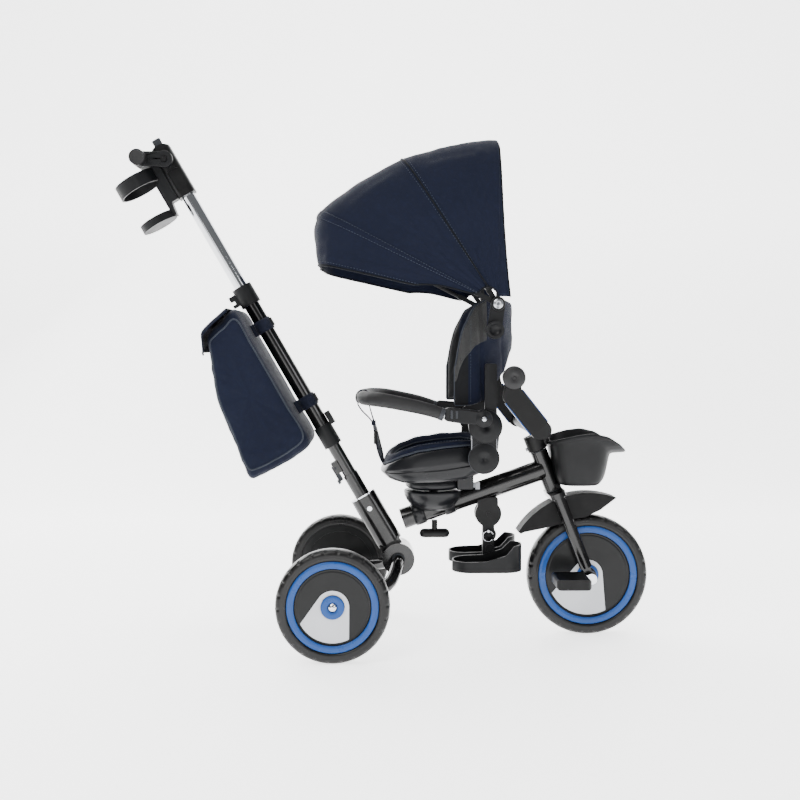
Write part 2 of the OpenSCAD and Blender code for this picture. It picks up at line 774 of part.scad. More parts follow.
// A shape drawn with the bar's own front and length as its axes, from -w to w across.
module beside_bar(w) {
    on_bar() rotate([90, 0, 0]) linear_extrude(2 * w, center = true) children();
}
module bag() {
    color(navy) difference() {
        beside_bar(120) polygon(bag_out);
        beside_bar(117) polygon(bag_in);
        on_bar(603) cylinder(r = 21.4, h = 42);
        on_bar(600) translate([-36, -11, 0]) cube([20, 22, 50]);
    }
    color(navy) for (s = [360, 540]) on_bar(s) {
        ring(bar_r + 0.1, bar_r + 2, 26);
        translate([-25, -9, 0]) cube([8.5, 18, 26]);
    }
}
module bag_flap() {
    color(navy) on_bar(612, -38) rod_y(0, 0, 2, -110, 110);
    color(navy) beside_bar(122) polygon([[-38, 610.5], [-100, 598.6], [-106, 594], [-119, 560],
        [-122, 561], [-109, 596], [-101, 601.6], [-38, 613.5]]);
}
module bar_latch() {
    color(grey) difference() {
        union() {
            on_bar(196) translate([-27, -8, 0]) cube([9, 16, 34]);
            on_bar(192) translate([-30, -12, 0]) cube([5, 24, 8]);
        }
        on_bar(225, -20) rod_y(0, 0, 2.6, -12, 12);
        on_bar(190) cylinder(r = 16, h = 11);
    }
    color(silver) on_bar(225, -20) rod_y(0, 0, 2.5, -11, 11);
}
module inner_tube() {
    color(silver) on_bar(540) ring(inner_r - 1.8, inner_r, 340);
}
tilt_s = 941;
tilt_n = -2;
grip_n = -45;
grip_s = 966;
module handle_housing() {
    color(black) difference() {
        intersection() {
            on_bar(860) linear_extrude(120) rounded([-19, -22], [19, 22], 12);
            union() {
                on_bar(tilt_s, tilt_n) rod_y(0, 0, 33, -22, 22);
                beside_bar(22) translate([-19, 860]) square([38, tilt_s - 860]);
            }
        }
        on_bar(850) cylinder(r = inner_r + 0.05, h = 31);
        both_sides() beside_bar_at(18, 24) rounded([-12, 872], [12, 918], 5);
        on_bar(962) linear_extrude(20) stadium(18.6, 14.6);
    }
    color(silver) both_sides() on_bar(tilt_s, tilt_n) rod_y(0, 0, 6, 20, 40);
}
// Like beside_bar, between two distances on the left.
module beside_bar_at(y0, y1) {
    on_bar() translate([0, y1, 0]) rotate([90, 0, 0]) linear_extrude(y1 - y0) children();
}
cup_s = 929;
cup_n = -77;
module cup_holder() {
    color(dark) {
        on_bar(cup_s - 14, cup_n) ring(cup_r, 45, 28);
        on_bar(835, cup_n - 2) difference() {
            cylinder(r = 38, h = 16);
            translate([0, 0, 3]) cylinder(r = 35.5, h = 16);
        }
        difference() {
            beside_bar(14) polygon([[-19.1, 863], [-19.1, 949], [-34, 949], [-36, 915], [-46, 905],
                [-46, 838], [-38, 836], [-34, 863]]);
            on_bar(838, cup_n - 2) cylinder(r = 35.5, h = 200);
        }
    }
}
module handle_arms() {
    color(dark) both_sides() difference() {
        union() {
            on_bar(tilt_s, tilt_n) rod_y(0, 0, 17, 24, 38);
            beside_bar_at(24, 38) hull() {
                translate([tilt_n, tilt_s]) circle(r = 15);
                translate([grip_n, grip_s]) circle(r = 15);
            }
        }
        on_bar(tilt_s, tilt_n) rod_y(0, 0, 6.06, 20, 50);
        on_bar(grip_s, grip_n) rod_y(0, 0, 9, 20, 50);
    }
}
module handle_grip() {
    color(black) on_bar(grip_s, grip_n) {
        rod_y(0, 0, 16, -23.6, 23.6);
        rod_y(0, 0, 8.95, -50, 50);
        both_sides() rod_y(0, 0, 16, 38.3, 62);
    }
}
module handle_button() {
    color(grey) on_bar(968) linear_extrude(22) stadium(18, 14);
}

main_frame();
head_bushes();
fold_pin();
socket_liner();
turntable_base();
footrest_bracket();
clamp_knob();
rear_arms();
rear_axles();
fold_button();
rear_tyre(1);  // rear_tyre_left
rear_rim(1);  // rear_rim_left
rear_trim(1);  // rear_trim_left
rear_tyre(-1);  // rear_tyre_right
rear_rim(-1);  // rear_rim_right
rear_trim(-1);  // rear_trim_right
fork();
mudguard();
handlebar();
handlebar_trim();
grips();
basket();
handlebar_button();
front_tyre();
front_rim();
front_trim();
crank_axle();
pedal(1);  // pedal_left
pedal(-1);  // pedal_right
footrest();
seat_shell();
seat_cushion();
seat_latch();
recline_arms();
backrest_shell();
backrest_pad();
hood_brackets();
hood_rear_panel();
hood_knob(1);  // hood_knob_left
hood_knob(-1);  // hood_knob_right
rail_joints();
rail_foam();
crotch_strap();
hood_mid_bow();
hood_mid_panel();
hood_front_bow();
hood_front_panel();
hood_visor();
lower_tube();
outer_tube();
bar_clamps();
bag();
bag_flap();
bar_latch();
inner_tube();
handle_housing();
cup_holder();
handle_arms();
handle_grip();
handle_button();
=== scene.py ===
import bpy, bmesh, math, random
import numpy as np
from mathutils import Vector, Matrix, noise


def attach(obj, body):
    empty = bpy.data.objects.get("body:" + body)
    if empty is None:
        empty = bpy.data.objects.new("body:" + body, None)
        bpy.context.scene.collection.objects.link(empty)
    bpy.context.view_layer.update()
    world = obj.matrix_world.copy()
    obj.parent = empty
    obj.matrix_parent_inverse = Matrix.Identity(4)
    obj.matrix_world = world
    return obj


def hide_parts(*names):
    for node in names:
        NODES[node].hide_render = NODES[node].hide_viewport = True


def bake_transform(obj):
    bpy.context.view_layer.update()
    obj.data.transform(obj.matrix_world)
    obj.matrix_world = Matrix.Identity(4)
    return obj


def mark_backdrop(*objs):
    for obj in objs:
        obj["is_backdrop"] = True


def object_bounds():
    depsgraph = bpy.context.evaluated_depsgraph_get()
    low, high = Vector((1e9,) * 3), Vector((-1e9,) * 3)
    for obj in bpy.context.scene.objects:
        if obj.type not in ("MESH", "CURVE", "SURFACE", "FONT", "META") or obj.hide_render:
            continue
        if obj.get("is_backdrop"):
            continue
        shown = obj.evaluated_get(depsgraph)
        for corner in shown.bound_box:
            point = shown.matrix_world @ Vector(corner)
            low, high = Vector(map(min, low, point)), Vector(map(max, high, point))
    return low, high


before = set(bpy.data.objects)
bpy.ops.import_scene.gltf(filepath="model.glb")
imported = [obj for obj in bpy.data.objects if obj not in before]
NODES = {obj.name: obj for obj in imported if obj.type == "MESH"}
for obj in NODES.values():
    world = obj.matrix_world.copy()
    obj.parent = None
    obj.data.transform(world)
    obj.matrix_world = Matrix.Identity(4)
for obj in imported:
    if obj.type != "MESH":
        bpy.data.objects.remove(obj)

MM = 0.001
random.seed(7)
scene = bpy.context.scene
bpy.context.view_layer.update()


# ---------------------------------------------------------------- camera
def add_camera():
    data = bpy.data.cameras.new("camera")
    cam = bpy.data.objects.new("camera", data)
    scene.collection.objects.link(cam)
    data.sensor_width = 36.0
    data.lens = 52.02
    data.clip_end = 50.0
    pitch = math.atan(55 / 1156)
    yaw = math.atan(24 / 1156 * math.cos(pitch))
    ahead = Vector((math.sin(yaw) * math.cos(pitch), math.cos(yaw) * math.cos(pitch), -math.sin(pitch)))
    right = Vector((math.cos(yaw), -math.sin(yaw), 0))
    up = right.cross(ahead)
    cam.matrix_world = Matrix((
        (right.x, up.x, -ahead.x, -0.01555),
        (right.y, up.y, -ahead.y, -2.393),
        (right.z, up.z, -ahead.z, 0.60249),
        (0, 0, 0, 1)))
    scene.camera = cam
    return cam


camera = add_camera()


# ---------------------------------------------------------------- materials
def srgb(r, g, b):
    def one(c):
        c /= 255
        return c / 12.92 if c <= 0.04045 else ((c + 0.055) / 1.055) ** 2.4
    return (one(r), one(g), one(b), 1.0)


class Graph:
    """A short way of writing a material's nodes."""

    def __init__(self, name):
        self.mat = bpy.data.materials.new(name)
        self.mat.use_nodes = True
        self.tree = self.mat.node_tree
        self.tree.nodes.clear()
        self.out = self.tree.nodes.new("ShaderNodeOutputMaterial")
        self.bsdf = self.tree.nodes.new("ShaderNodeBsdfPrincipled")
        self.link(self.bsdf.outputs[0], self.out.inputs["Surface"])

    def link(self, a, b):
        self.tree.links.new(a, b)

    def put(self, socket, value):
        if hasattr(value, "is_output"):
            self.link(value, socket)
        else:
            socket.default_value = value

    def node(self, kind, inputs=None, **props):
        n = self.tree.nodes.new(kind)
        for k, v in props.items():
            setattr(n, k, v)
        for k, v in (inputs or {}).items():
            self.put(n.inputs[k], v)
        return n

    def where(self, scale=(1, 1, 1), turn=(0, 0, 0), kind="Object"):
        c = self.node("ShaderNodeTexCoord")
        m = self.node("ShaderNodeMapping", {"Vector": c.outputs[kind], "Scale": scale, "Rotation": turn})
        return m.outputs[0]

    def noise(self, scale, detail=4.0, rough=0.55, vector=None):
        ins = {"Scale": scale, "Detail": detail, "Roughness": rough}
        ins["Vector"] = vector if vector is not None else self.where()
        return self.node("ShaderNodeTexNoise", ins).outputs[0]

    def wave(self, scale, direction, vector, distortion=0.0):
        return self.node("ShaderNodeTexWave", {"Vector": vector, "Scale": scale, "Distortion": distortion},
                         wave_type="BANDS", bands_direction=direction).outputs[1]

    def ramp(self, value, low, high, to_low=0.0, to_high=1.0):
        return self.node("ShaderNodeMapRange", {"Value": value, "From Min": low, "From Max": high,
                                                "To Min": to_low, "To Max": to_high}).outputs[0]

    def maths(self, kind, a, b=0.5, clamp=False):
        n = self.node("ShaderNodeMath", operation=kind, use_clamp=clamp)
        self.put(n.inputs[0], a)
        self.put(n.inputs[1], b)
        return n.outputs[0]

    def mix(self, factor, a, b):
        n = self.node("ShaderNodeMix", data_type="RGBA")
        self.put(n.inputs[0], factor)
        self.put(n.inputs[6], a)
        self.put(n.inputs[7], b)
        return n.outputs[2]

    def bump(self, height, strength, distance, normal=None):
        ins = {"Height": height, "Strength": strength, "Distance": distance}
        if normal is not None:
            ins["Normal"] = normal
        return self.node("ShaderNodeBump", ins).outputs[0]

    def edges(self, low=0.5, high=0.6):
        """Lighter where the surface turns outwards: it places a painted highlight on edges."""
        g = self.node("ShaderNodeNewGeometry")
        return self.ramp(g.outputs["Pointiness"], low, high)

    def set(self, **values):
        for k, v in values.items():
            self.put(self.bsdf.inputs[k.replace("_", " ")], v)
        return self.mat


def plastic(name, colour, rough=0.42, grain=900.0, depth=0.00012, spread=0.06, coat=0.0, edge_highlight=0.25):
    """Moulded plastic: a fine spark-eroded grain, uneven gloss and slightly paler edges, which are a painted
    highlight.
    """
    g = Graph(name)
    base = srgb(*colour)
    light = tuple(min(1, c * 1.7 + 0.008) for c in base[:3]) + (1,)
    patch = g.noise(14, 3)
    tint = g.mix(g.ramp(patch, 0.35, 0.65, 0.0, 0.22), base, tuple(c * 0.75 for c in base[:3]) + (1,))
    # Painted highlight: convex edges are mixed towards a paler copy of the colour.
    edge = g.maths("MULTIPLY", g.edges(0.52, 0.62), edge_highlight)
    fine = g.noise(grain, 2, 0.6)
    gloss = g.ramp(g.noise(38, 5), 0.3, 0.7, rough - spread, rough + spread)
    bump = g.bump(fine, 0.35, depth)
    return g.set(Base_Color=g.mix(edge, tint, light), Roughness=gloss, Normal=bump,
                 Coat_Weight=coat, Coat_Roughness=0.12, Specular_IOR_Level=0.2)


def gloss_paint(name, colour, rough=0.16):
    """Powder coat: faint orange peel, dust in random patches and small scuffs."""
    g = Graph(name)
    base = srgb(*colour)
    peel = g.noise(260, 2, 0.5)
    scuff = g.noise(70, 8, 0.75, g.where(scale=(1, 1, 4)))
    marks = g.ramp(scuff, 0.66, 0.72)
    dust = g.ramp(g.noise(9, 5), 0.45, 0.75, 0.0, 0.06)
    colour_out = g.mix(dust, base, srgb(90, 88, 84))
    r = g.maths("ADD", g.ramp(g.noise(22, 4), 0.3, 0.7, rough - 0.04, rough + 0.08), g.maths("MULTIPLY",
        marks, 0.18))
    return g.set(Base_Color=colour_out, Roughness=r, Normal=g.bump(peel, 0.16, 0.0002),
                 Coat_Weight=0.2, Coat_Roughness=0.08, Specular_IOR_Level=0.4)


def metal(name, colour, rough=0.12, brushed=0.0, axis=2):
    g = Graph(name)
    stretch = [220.0, 220.0, 220.0]
    stretch[axis] = 6.0
    lines = g.noise(1.0, 3, 0.6, g.where(scale=tuple(stretch)))
    smudge = g.noise(16, 5, 0.6)
    r = g.maths("ADD", g.ramp(smudge, 0.35, 0.7, rough * 0.7, rough * 1.6),
                g.ramp(lines, 0.3, 0.7, 0.0, brushed))
    tint = g.mix(g.ramp(smudge, 0.4, 0.7, 0.0, 0.25), srgb(*colour),
        tuple(c * 0.7 for c in srgb(*colour)[:3]) + (1,))
    return g.set(Base_Color=tint, Metallic=1.0, Roughness=r, Normal=g.bump(lines, 0.08 + brushed, 0.00008))


def weave(name, colour, thread=1500.0, depth=0.00022, rough=0.78, light=1.6, sheen=0.25):
    """Plain-woven polyester: over-and-under threads, slubs and a soft sheen, laid out on the UV map."""
    g = Graph(name)
    base = srgb(*colour)
    pale = tuple(min(1, c * light + 0.004) for c in base[:3]) + (1,)
    dark = tuple(c * 0.55 for c in base[:3]) + (1,)
    uv = g.where(kind="UV")
    slub = g.noise(90, 3, 0.6, uv)
    warp = g.wave(thread * 0.314, "X", uv)
    weft = g.wave(thread * 0.314, "Y", uv)
    check = g.node("ShaderNodeTexChecker", {"Vector": uv, "Scale": thread}).outputs[1]
    over = g.mix(check, g.maths("POWER", warp, 0.6), g.maths("POWER", weft, 0.6))
    height = g.node("ShaderNodeRGBToBW", {"Color": over}).outputs[0]
    # Painted shade: threads are darker where they pass under, in the weave's low places.
    tint = g.mix(g.ramp(height, 0.1, 0.9), dark, base)
    tint = g.mix(g.ramp(slub, 0.5, 0.75, 0.0, 0.5), tint, pale)
    fade = g.ramp(g.noise(5, 4), 0.35, 0.7, 0.0, 0.22)
    tint = g.mix(fade, tint, pale)
    normal = g.bump(height, 0.55, depth)
    normal = g.bump(g.noise(30, 4, 0.6), 0.25, 0.0012, normal)
    return g.set(Base_Color=tint, Roughness=g.ramp(slub, 0.3, 0.7, rough - 0.06, rough + 0.08), Normal=normal,
                 Sheen_Weight=sheen, Sheen_Roughness=0.45, Specular_IOR_Level=0.15)


def mesh_cloth(name, colour, hole_colour, cells=420.0):
    """Spacer mesh with small round holes in staggered rows."""
    g = Graph(name)
    uv = g.where(kind="UV", scale=(cells, cells * 1.1547, 1))
    v = g.node("ShaderNodeTexVoronoi", {"Vector": uv, "Scale": 1.0, "Randomness": 0.12}).outputs[0]
    hole = g.ramp(v, 0.26, 0.36)
    tint = g.mix(hole, srgb(*hole_colour), srgb(*colour))
    return g.set(Base_Color=tint, Roughness=0.82, Normal=g.bump(hole, 0.9, 0.0007),
                 Sheen_Weight=0.2, Sheen_Roughness=0.5)


def foam(name, colour, rough=0.7):
    g = Graph(name)
    base = srgb(*colour)
    pale = tuple(min(1, c * 1.7 + 0.01) for c in base[:3]) + (1,)
    cells = g.node("ShaderNodeTexVoronoi", {"Vector": g.where(), "Scale": 950.0}).outputs[0]
    soft = g.noise(45, 5, 0.6)
    tint = g.mix(g.ramp(soft, 0.4, 0.7, 0.0, 0.35), base, pale)
    normal = g.bump(cells, 0.4, 0.00025)
    normal = g.bump(soft, 0.2, 0.0008, normal)
    return g.set(Base_Color=tint, Roughness=g.ramp(soft, 0.3, 0.7, rough - 0.08, rough + 0.06), Normal=normal,
                 Specular_IOR_Level=0.4)


def tyre_material(name):
    g = Graph(name)
    scuff = g.noise(60, 7, 0.7)
    grain = g.noise(700, 3, 0.6)
    dust = g.ramp(g.noise(8, 5), 0.4, 0.75, 0.02, 0.16)
    tint = g.mix(dust, srgb(6, 6, 7), srgb(48, 47, 45))
    r = g.maths("ADD", g.ramp(g.noise(18, 4), 0.3, 0.7, 0.25, 0.4), g.ramp(scuff, 0.6, 0.75, 0.0, 0.2))
    return g.set(Base_Color=tint, Roughness=r, Normal=g.bump(grain, 0.25, 0.0002), Specular_IOR_Level=0.3)


M = {
    "black_paint": gloss_paint("black powder coat", (5, 5, 6)),
    "black_plastic": plastic("black plastic", (6, 6, 7), 0.4),
    "dark_plastic": plastic("dark grey plastic", (11, 12, 14), 0.44),
    "matt_plastic": plastic("matt black plastic", (9, 9, 10), 0.62, depth=0.0002),
    "seat_plastic": plastic("seat plastic", (13, 14, 17), 0.33, grain=500, depth=0.0002, coat=0.15),
    "grey_plastic": plastic("grey plastic", (44, 46, 50), 0.42),
    "knob_plastic": plastic("knurled knob plastic", (74, 76, 80), 0.45),
    "pale_plastic": plastic("pale grey plastic", (140, 142, 147), 0.4),
    "blue_plastic": plastic("blue plastic", (24, 66, 128), 0.3, coat=0.15, edge_highlight=0.15),
    "disc_plastic": plastic("wheel disc plastic", (7, 8, 9), 0.34, coat=0.08, edge_highlight=0.1),
    "decal": plastic("pale decal", (196, 198, 202), 0.38, grain=1400, depth=0.00005, edge_highlight=0.0),
    "chrome": metal("chrome", (214, 216, 220), 0.07),
    "steel": metal("bright steel", (190, 192, 196), 0.2, 0.1),
    "tyre": tyre_material("EVA tyre"),
    "navy": weave("navy polyester", (6, 13, 33), light=1.3, sheen=0.05),
    "navy_dark": weave("navy lining", (4, 7, 15), light=1.3, sheen=0.03),
    "webbing": weave("navy webbing", (7, 13, 32), thread=900, depth=0.0004, rough=0.6, sheen=0.06),
    "binding": weave("grey binding", (44, 49, 58), thread=1100, light=1.3, sheen=0.1),
    "thread": weave("grey thread", (70, 78, 92), thread=2500, sheen=0.1),
    "wing": mesh_cloth("black mesh cloth", (8, 9, 11), (1, 1, 2)),
    "charcoal": weave("charcoal cloth", (12, 13, 16), thread=1200, sheen=0.05),
    "foam": foam("rail foam", (9, 9, 11)),
    "rubber": foam("soft grip", (7, 7, 9), 0.55),
}


# ---------------------------------------------------------------- shapes
def new_object(name, verts, faces, uvs=None, material=None, smooth=True):
    """verts in millimetres. uvs, one pair per vertex, in metres."""
    mesh = bpy.data.meshes.new(name)
    mesh.from_pydata([tuple(c * MM for c in v) for v in verts], [], faces)
    if uvs is not None:
        layer = mesh.uv_layers.new(name="UVMap")
        flat = np.array([uvs[l.vertex_index] for l in mesh.loops], np.float32).ravel()
        layer.data.foreach_set("uv", flat)
    mesh.polygons.foreach_set("use_smooth", [smooth] * len(mesh.polygons))
    mesh.update()
    ob = bpy.data.objects.new(name, mesh)
    scene.collection.objects.link(ob)
    if material:
        mesh.materials.append(M[material])
    return ob


def bevel(ob, width=0.6, segments=2, angle=35):
    m = ob.modifiers.new("bevel", "BEVEL")
    m.width = width * MM
    m.segments = segments
    m.limit_method = "ANGLE"
    m.angle_limit = math.radians(angle)
    m.harden_normals = False
    m.use_clamp_overlap = True
    return ob


def sharp(ob, angle=35):
    ob.data.set_sharp_from_angle(angle=math.radians(angle))
    return ob


def solid(ob, thick, offset=-1.0):
    m = ob.modifiers.new("thickness", "SOLIDIFY")
    m.thickness = thick * MM
    m.offset = offset
    return ob


def subdivide(ob, levels=1):
    m = ob.modifiers.new("subdivision", "SUBSURF")
    m.levels = levels
    m.render_levels = levels
    return ob


def apply_all(ob):
    bpy.context.view_layer.update()
    deps = bpy.context.evaluated_depsgraph_get()
    mesh = bpy.data.meshes.new_from_object(ob.evaluated_get(deps))
    ob.modifiers.clear()
    ob.data = mesh
    return ob


def lathe(name, profile, centre, material, side=1, turns=96, closed=False, at=None):
    """profile: (radius, height) pairs; height runs along +Y times side, or along a given frame."""
    n = len(profile)
    verts, faces, uvs = [], [], []
    run = [0.0]
    for i in range(1, n):
        run.append(run[-1] + math.dist(profile[i], profile[i - 1]))
    for k in range(turns):
        a = 2 * math.pi * k / turns
        for i, (r, h) in enumerate(profile):
            if at is not None:
                v = at @ Vector((r * math.cos(a), r * math.sin(a), h))
            else:
                v = Vector((centre[0] + r * math.cos(a), centre[1] + side * h, centre[2] + r * math.sin(a)))
            verts.append(tuple(v))
            uvs.append((a * 0.1, run[i] * MM))
    for k in range(turns):
        m = (k + 1) % turns
        for i in range(n - 1 + (1 if closed else 0)):
            j = (i + 1) % n
            f = [k * n + i, k * n + j, m * n + j, m * n + i]
            faces.append(f if side > 0 else f[::-1])
    ob = new_object(name, verts, faces, uvs, material)
    fix_normals(ob)
    return ob


def fix_normals(ob):
    bm = bmesh.new()
    bm.from_mesh(ob.data)
    bmesh.ops.remove_doubles(bm, verts=bm.verts, dist=1e-6)
    bmesh.ops.recalc_face_normals(bm, faces=bm.faces)
    bm.to_mesh(ob.data)
    bm.free()
    return ob


def catmull(points, steps, closed=False):
    pts = [Vector(p) for p in points]
    n = len(pts)
    out = []
    last = n if closed else n - 1
    for i in range(last):
        a = pts[(i - 1) % n] if closed else pts[max(i - 1, 0)]
        b, c = pts[i], pts[(i + 1) % n]
        d = pts[(i + 2) % n] if closed else pts[min(i + 2, n - 1)]
        for k in range(steps):
            t = k / steps
            out.append(0.5 * (2 * b + (c - a) * t + (2 * a - 5 * b + 4 * c - d) * t * t
                              + (3 * b - a - 3 * c + d) * t ** 3))
    if not closed:
        out.append(pts[-1])
    return out


def tube(name, path, radius, material, sides=16, closed=False, caps=True, profile=None):
    """A round bar, or a bar of the given flat profile, along a line of points in millimetres. radius may be a list."""
    pts = [Vector(p) for p in path]
    n = len(pts)
    rad = radius if isinstance(radius, (list, tuple)) else [radius] * n
    tans = []
    for i in range(n):
        a = pts[(i - 1) % n] if closed or i > 0 else pts[0]
        b = pts[(i + 1) % n] if closed or i < n - 1 else pts[-1]
        tans.append((b - a).normalized())
    ref = Vector((0, 0, 1)) if abs(tans[0].z) < 0.9 else Vector((1, 0, 0))
    u = tans[0].cross(ref).normalized()
    verts, uvs = [], []
    run = 0.0
    shape = profile or [(math.cos(2 * math.pi * k / sides),
        math.sin(2 * math.pi * k / sides)) for k in range(sides)]
    m = len(shape)
    for i in range(n):
        if i:
            run += (pts[i] - pts[i - 1]).length
            u = (u - tans[i] * u.dot(tans[i])).normalized()
        w = tans[i].cross(u)
        for k, (x, y) in enumerate(shape):
            verts.append(tuple(pts[i] + rad[i] * (u * x + w * y)))
            uvs.append((run * MM, k / m * 6.283 * rad[i] * MM))
    faces = []
    for i in range(n if closed else n - 1):
        j = (i + 1) % n
        for k in range(m):
            l = (k + 1) % m
            faces.append([i * m + k, i * m + l, j * m + l, j * m + k])
    if caps and not closed:
        faces.append(list(range(m))[::-1])
        faces.append([(n - 1) * m + k for k in range(m)])
    ob = new_object(name, verts, faces, uvs, material)
    fix_normals(ob)
    sharp(ob, 40)
    return ob


def block(name, low, high, material, at=None, round_by=1.0, segments=3):
    lo, hi = Vector(low), Vector(high)
    verts = [Vector((x, y, z)) for x in (lo.x, hi.x) for y in (lo.y, hi.y) for z in (lo.z, hi.z)]
    if at is not None:
        verts = [at @ v for v in verts]
    faces = [[0, 1, 3, 2], [4, 6, 7, 5], [0, 4, 5, 1], [2, 3, 7, 6], [0, 2, 6, 4], [1, 5, 7, 3]]
    ob = new_object(name, [tuple(v) for v in verts], faces, None, material)
    fix_normals(ob)
    bevel(ob, round_by, segments, 30)
    sharp(ob, 30)
    return ob


def plate(name, outline, y0, y1, material, round_by=0.8, at=None):
    """A flat outline in X and Z, as thick as y0 to y1."""
    n = len(outline)
    verts = [Vector((x, y0, z)) for x, z in outline] + [Vector((x, y1, z)) for x, z in outline]
    if at is not None:
        verts = [at @ v for v in verts]
    faces = [list(range(n)), list(range(n, 2 * n))[::-1]]
    faces += [[i, (i + 1) % n, n + (i + 1) % n, n + i] for i in range(n)]
    ob = new_object(name, [tuple(v) for v in verts], faces, None, material)
    fix_normals(ob)
    bevel(ob, round_by, 2, 30)
    sharp(ob, 30)
    return ob


def join(name, parts):
    """Several meshes become one; modifiers are applied first."""
    for o in parts:
        if o.modifiers:
            apply_all(o)
    bm = bmesh.new()
    mats = []
    for o in parts:
        start = len(bm.faces)
        bm.from_mesh(o.data)
        bm.faces.ensure_lookup_table()
        remap = []
        for m in o.data.materials:
            if m not in mats:
                mats.append(m)
            remap.append(mats.index(m))
        for f in bm.faces[start:]:
            f.material_index = remap[f.material_index] if remap else 0
    mesh = bpy.data.meshes.new(name)
    bm.to_mesh(mesh)
    bm.free()
    for m in mats:
        mesh.materials.append(m)
    ob = bpy.data.objects.new(name, mesh)
    scene.collection.objects.link(ob)
    for o in parts:
        bpy.data.objects.remove(o)
    return ob


BAR = Matrix.Translation((30, 0, 163)) @ Matrix.Rotation(math.radians(-30), 4, "Y")
TUBE = Matrix.Translation((103, 0, 263.5)) @ Matrix.Rotation(math.radians(-19.4), 4, "Y")


def dress(node, material, width=0.7, angle=32, weld=True):
    """A CAD solid shown as it is, with its seams welded, edges rounded and a material."""
    ob = NODES[node]
    ob.data.materials.clear()
    ob.data.materials.append(M[material])
    ob.data.polygons.foreach_set("use_smooth", [True] * len(ob.data.polygons))
    if ob.data.has_custom_normals:
        ob.data.attributes.remove(ob.data.attributes["custom_normal"])
    if weld:
        w = ob.modifiers.new("weld", "WELD")
        w.merge_threshold = 1e-5
    if width:
        bevel(ob, width, 2, angle)
    n = ob.modifiers.new("normals", "WEIGHTED_NORMAL")
    n.keep_sharp = True
    n.weight = 60
    return ob


# ---------------------------------------------------------------- hard parts shown from the CAD
for name, mat, width in (
        ("main_frame", "black_paint", 0.8), ("head_bushes", "grey_plastic", 0.4), ("fold_pin", "steel", 0.8),
        ("socket_liner", "chrome", 0.5),
        ("footrest_bracket", "black_plastic", 1.0), ("clamp_knob", "black_plastic", 0.6),
        ("rear_axles", "chrome", 0.5),
        ("fork", "black_paint", 0.6), ("mudguard", "matt_plastic", 1.2),
        ("handlebar_button", "pale_plastic", 0.4),
        ("crank_axle", "chrome", 0.8), ("seat_latch", "pale_plastic", 0.8),
        ("hood_brackets", "dark_plastic", 0.6),
        ("hood_mid_bow", "dark_plastic", 0.5), ("hood_front_bow", "dark_plastic", 0.5),
        ("lower_tube", "black_paint", 0.4), ("outer_tube", "black_paint", 0.4),
        ("bar_clamps", "dark_plastic", 0.8), ("bar_latch", "grey_plastic", 0.8), ("inner_tube", "chrome",
            0.3),
        ("handle_button", "grey_plastic", 1.2), ("handlebar", "black_plastic", 3.5),
        ("rear_arms", "black_paint", 0.8), ("fold_button", "grey_plastic", 1.2),
        ("rear_rim_left", "disc_plastic", 0.5), ("rear_rim_right", "disc_plastic", 0.5),
        ("front_rim", "disc_plastic", 0.5),
        ("handlebar_trim", "blue_plastic", 0.5),
        ("pedal_left", "black_plastic", 1.2), ("pedal_right", "black_plastic", 1.2),
        ("footrest", "dark_plastic", 1.0),
        ("recline_arms", "dark_plastic", 1.2),
        ("backrest_shell", "black_plastic", 1.0),
        ("hood_knob_left", "dark_plastic", 1.6), ("hood_knob_right", "dark_plastic", 1.6),

        ("handle_housing", "black_plastic", 1.0),
        ("cup_holder", "dark_plastic", 0.8), ("handle_arms", "dark_plastic", 1.2), ("handle_grip",
            "rubber", 1.0)):
    dress(name, mat, width)


# ---------------------------------------------------------------- stitched cloth helpers
def spaced(path, step):
    """Points and directions every step millimetres along a line."""
    pts = [Vector(p) for p in path]
    run, out = 0.0, []
    for a, b in zip(pts, pts[1:]):
        length = (b - a).length
        while run <= length:
            out.append((a.lerp(b, run / max(length, 1e-9)), (b - a).normalized()))
            run += step
        run -= length
    return out


def stitches(name, path, material="thread", length=3.4, step=6.0, r=0.42):
    """A row of separate thread stitches lying along a line."""
    verts, faces = [], []
    for p, d in spaced(path, step):
        side = d.cross(Vector((0, 0, 1)) if abs(d.z) < 0.9 else Vector((1, 0, 0))).normalized()
        up = d.cross(side)
        base = len(verts)
        for t, rr in ((-1, 0.15), (-0.6, 1), (0.6, 1), (1, 0.15)):
            for k in range(5):
                a = 2 * math.pi * k / 5
                verts.append(tuple(p + d * t * length / 2 + (side * math.cos(a) + up * math.sin(a)) * r * rr))
        for i in range(3):
            for k in range(5):
                m = (k + 1) % 5
                faces.append([base + i * 5 + k, base + i * 5 + m, base + i * 5 + 5 + m, base + i * 5 + 5 + k])
        faces.append([base + k for k in range(5)][::-1])
        faces.append([base + 15 + k for k in range(5)])
    return new_object(name, verts, faces, None, material)


def grid_sheet(name, rows, uvs, material, thick=1.2, levels=1):
    """A sheet through rows of points in millimetres."""
    n, m = len(rows), len(rows[0])
    verts = [tuple(p) for row in rows for p in row]
    faces = [[i * m + j, i * m + j + 1, (i + 1) * m + j + 1, (i + 1) * m + j]
             for i in range(n - 1) for j in range(m - 1)]
    flat = [uv for row in uvs for uv in row]
    ob = new_object(name, verts, faces, flat, material)
    if thick:
        solid(ob, thick, 0.0)
    if levels:
        subdivide(ob, levels)
    return ob


# ---------------------------------------------------------------- hood
PIVOT = Vector((220, 0, 682))
HALF = 171.0
HOOD_R = [(89.6, 325), (98, 328), (106, 331), (115, 336), (123, 341), (131, 354), (138, 368), (146, 383),
          (153, 393.5), (157, 391), (160, 385), (164, 374), (167.5, 362)]
HOOD_R0 = [(89.6, 13), (92, 14), (100, 24), (123, 40), (150, 44), (158, 52), (160.5, 66), (163, 118), (165,
    142),
           (167.5, 166)]


def between(table, x):
    return float(np.interp(x, [t[0] for t in table], [t[1] for t in table]))


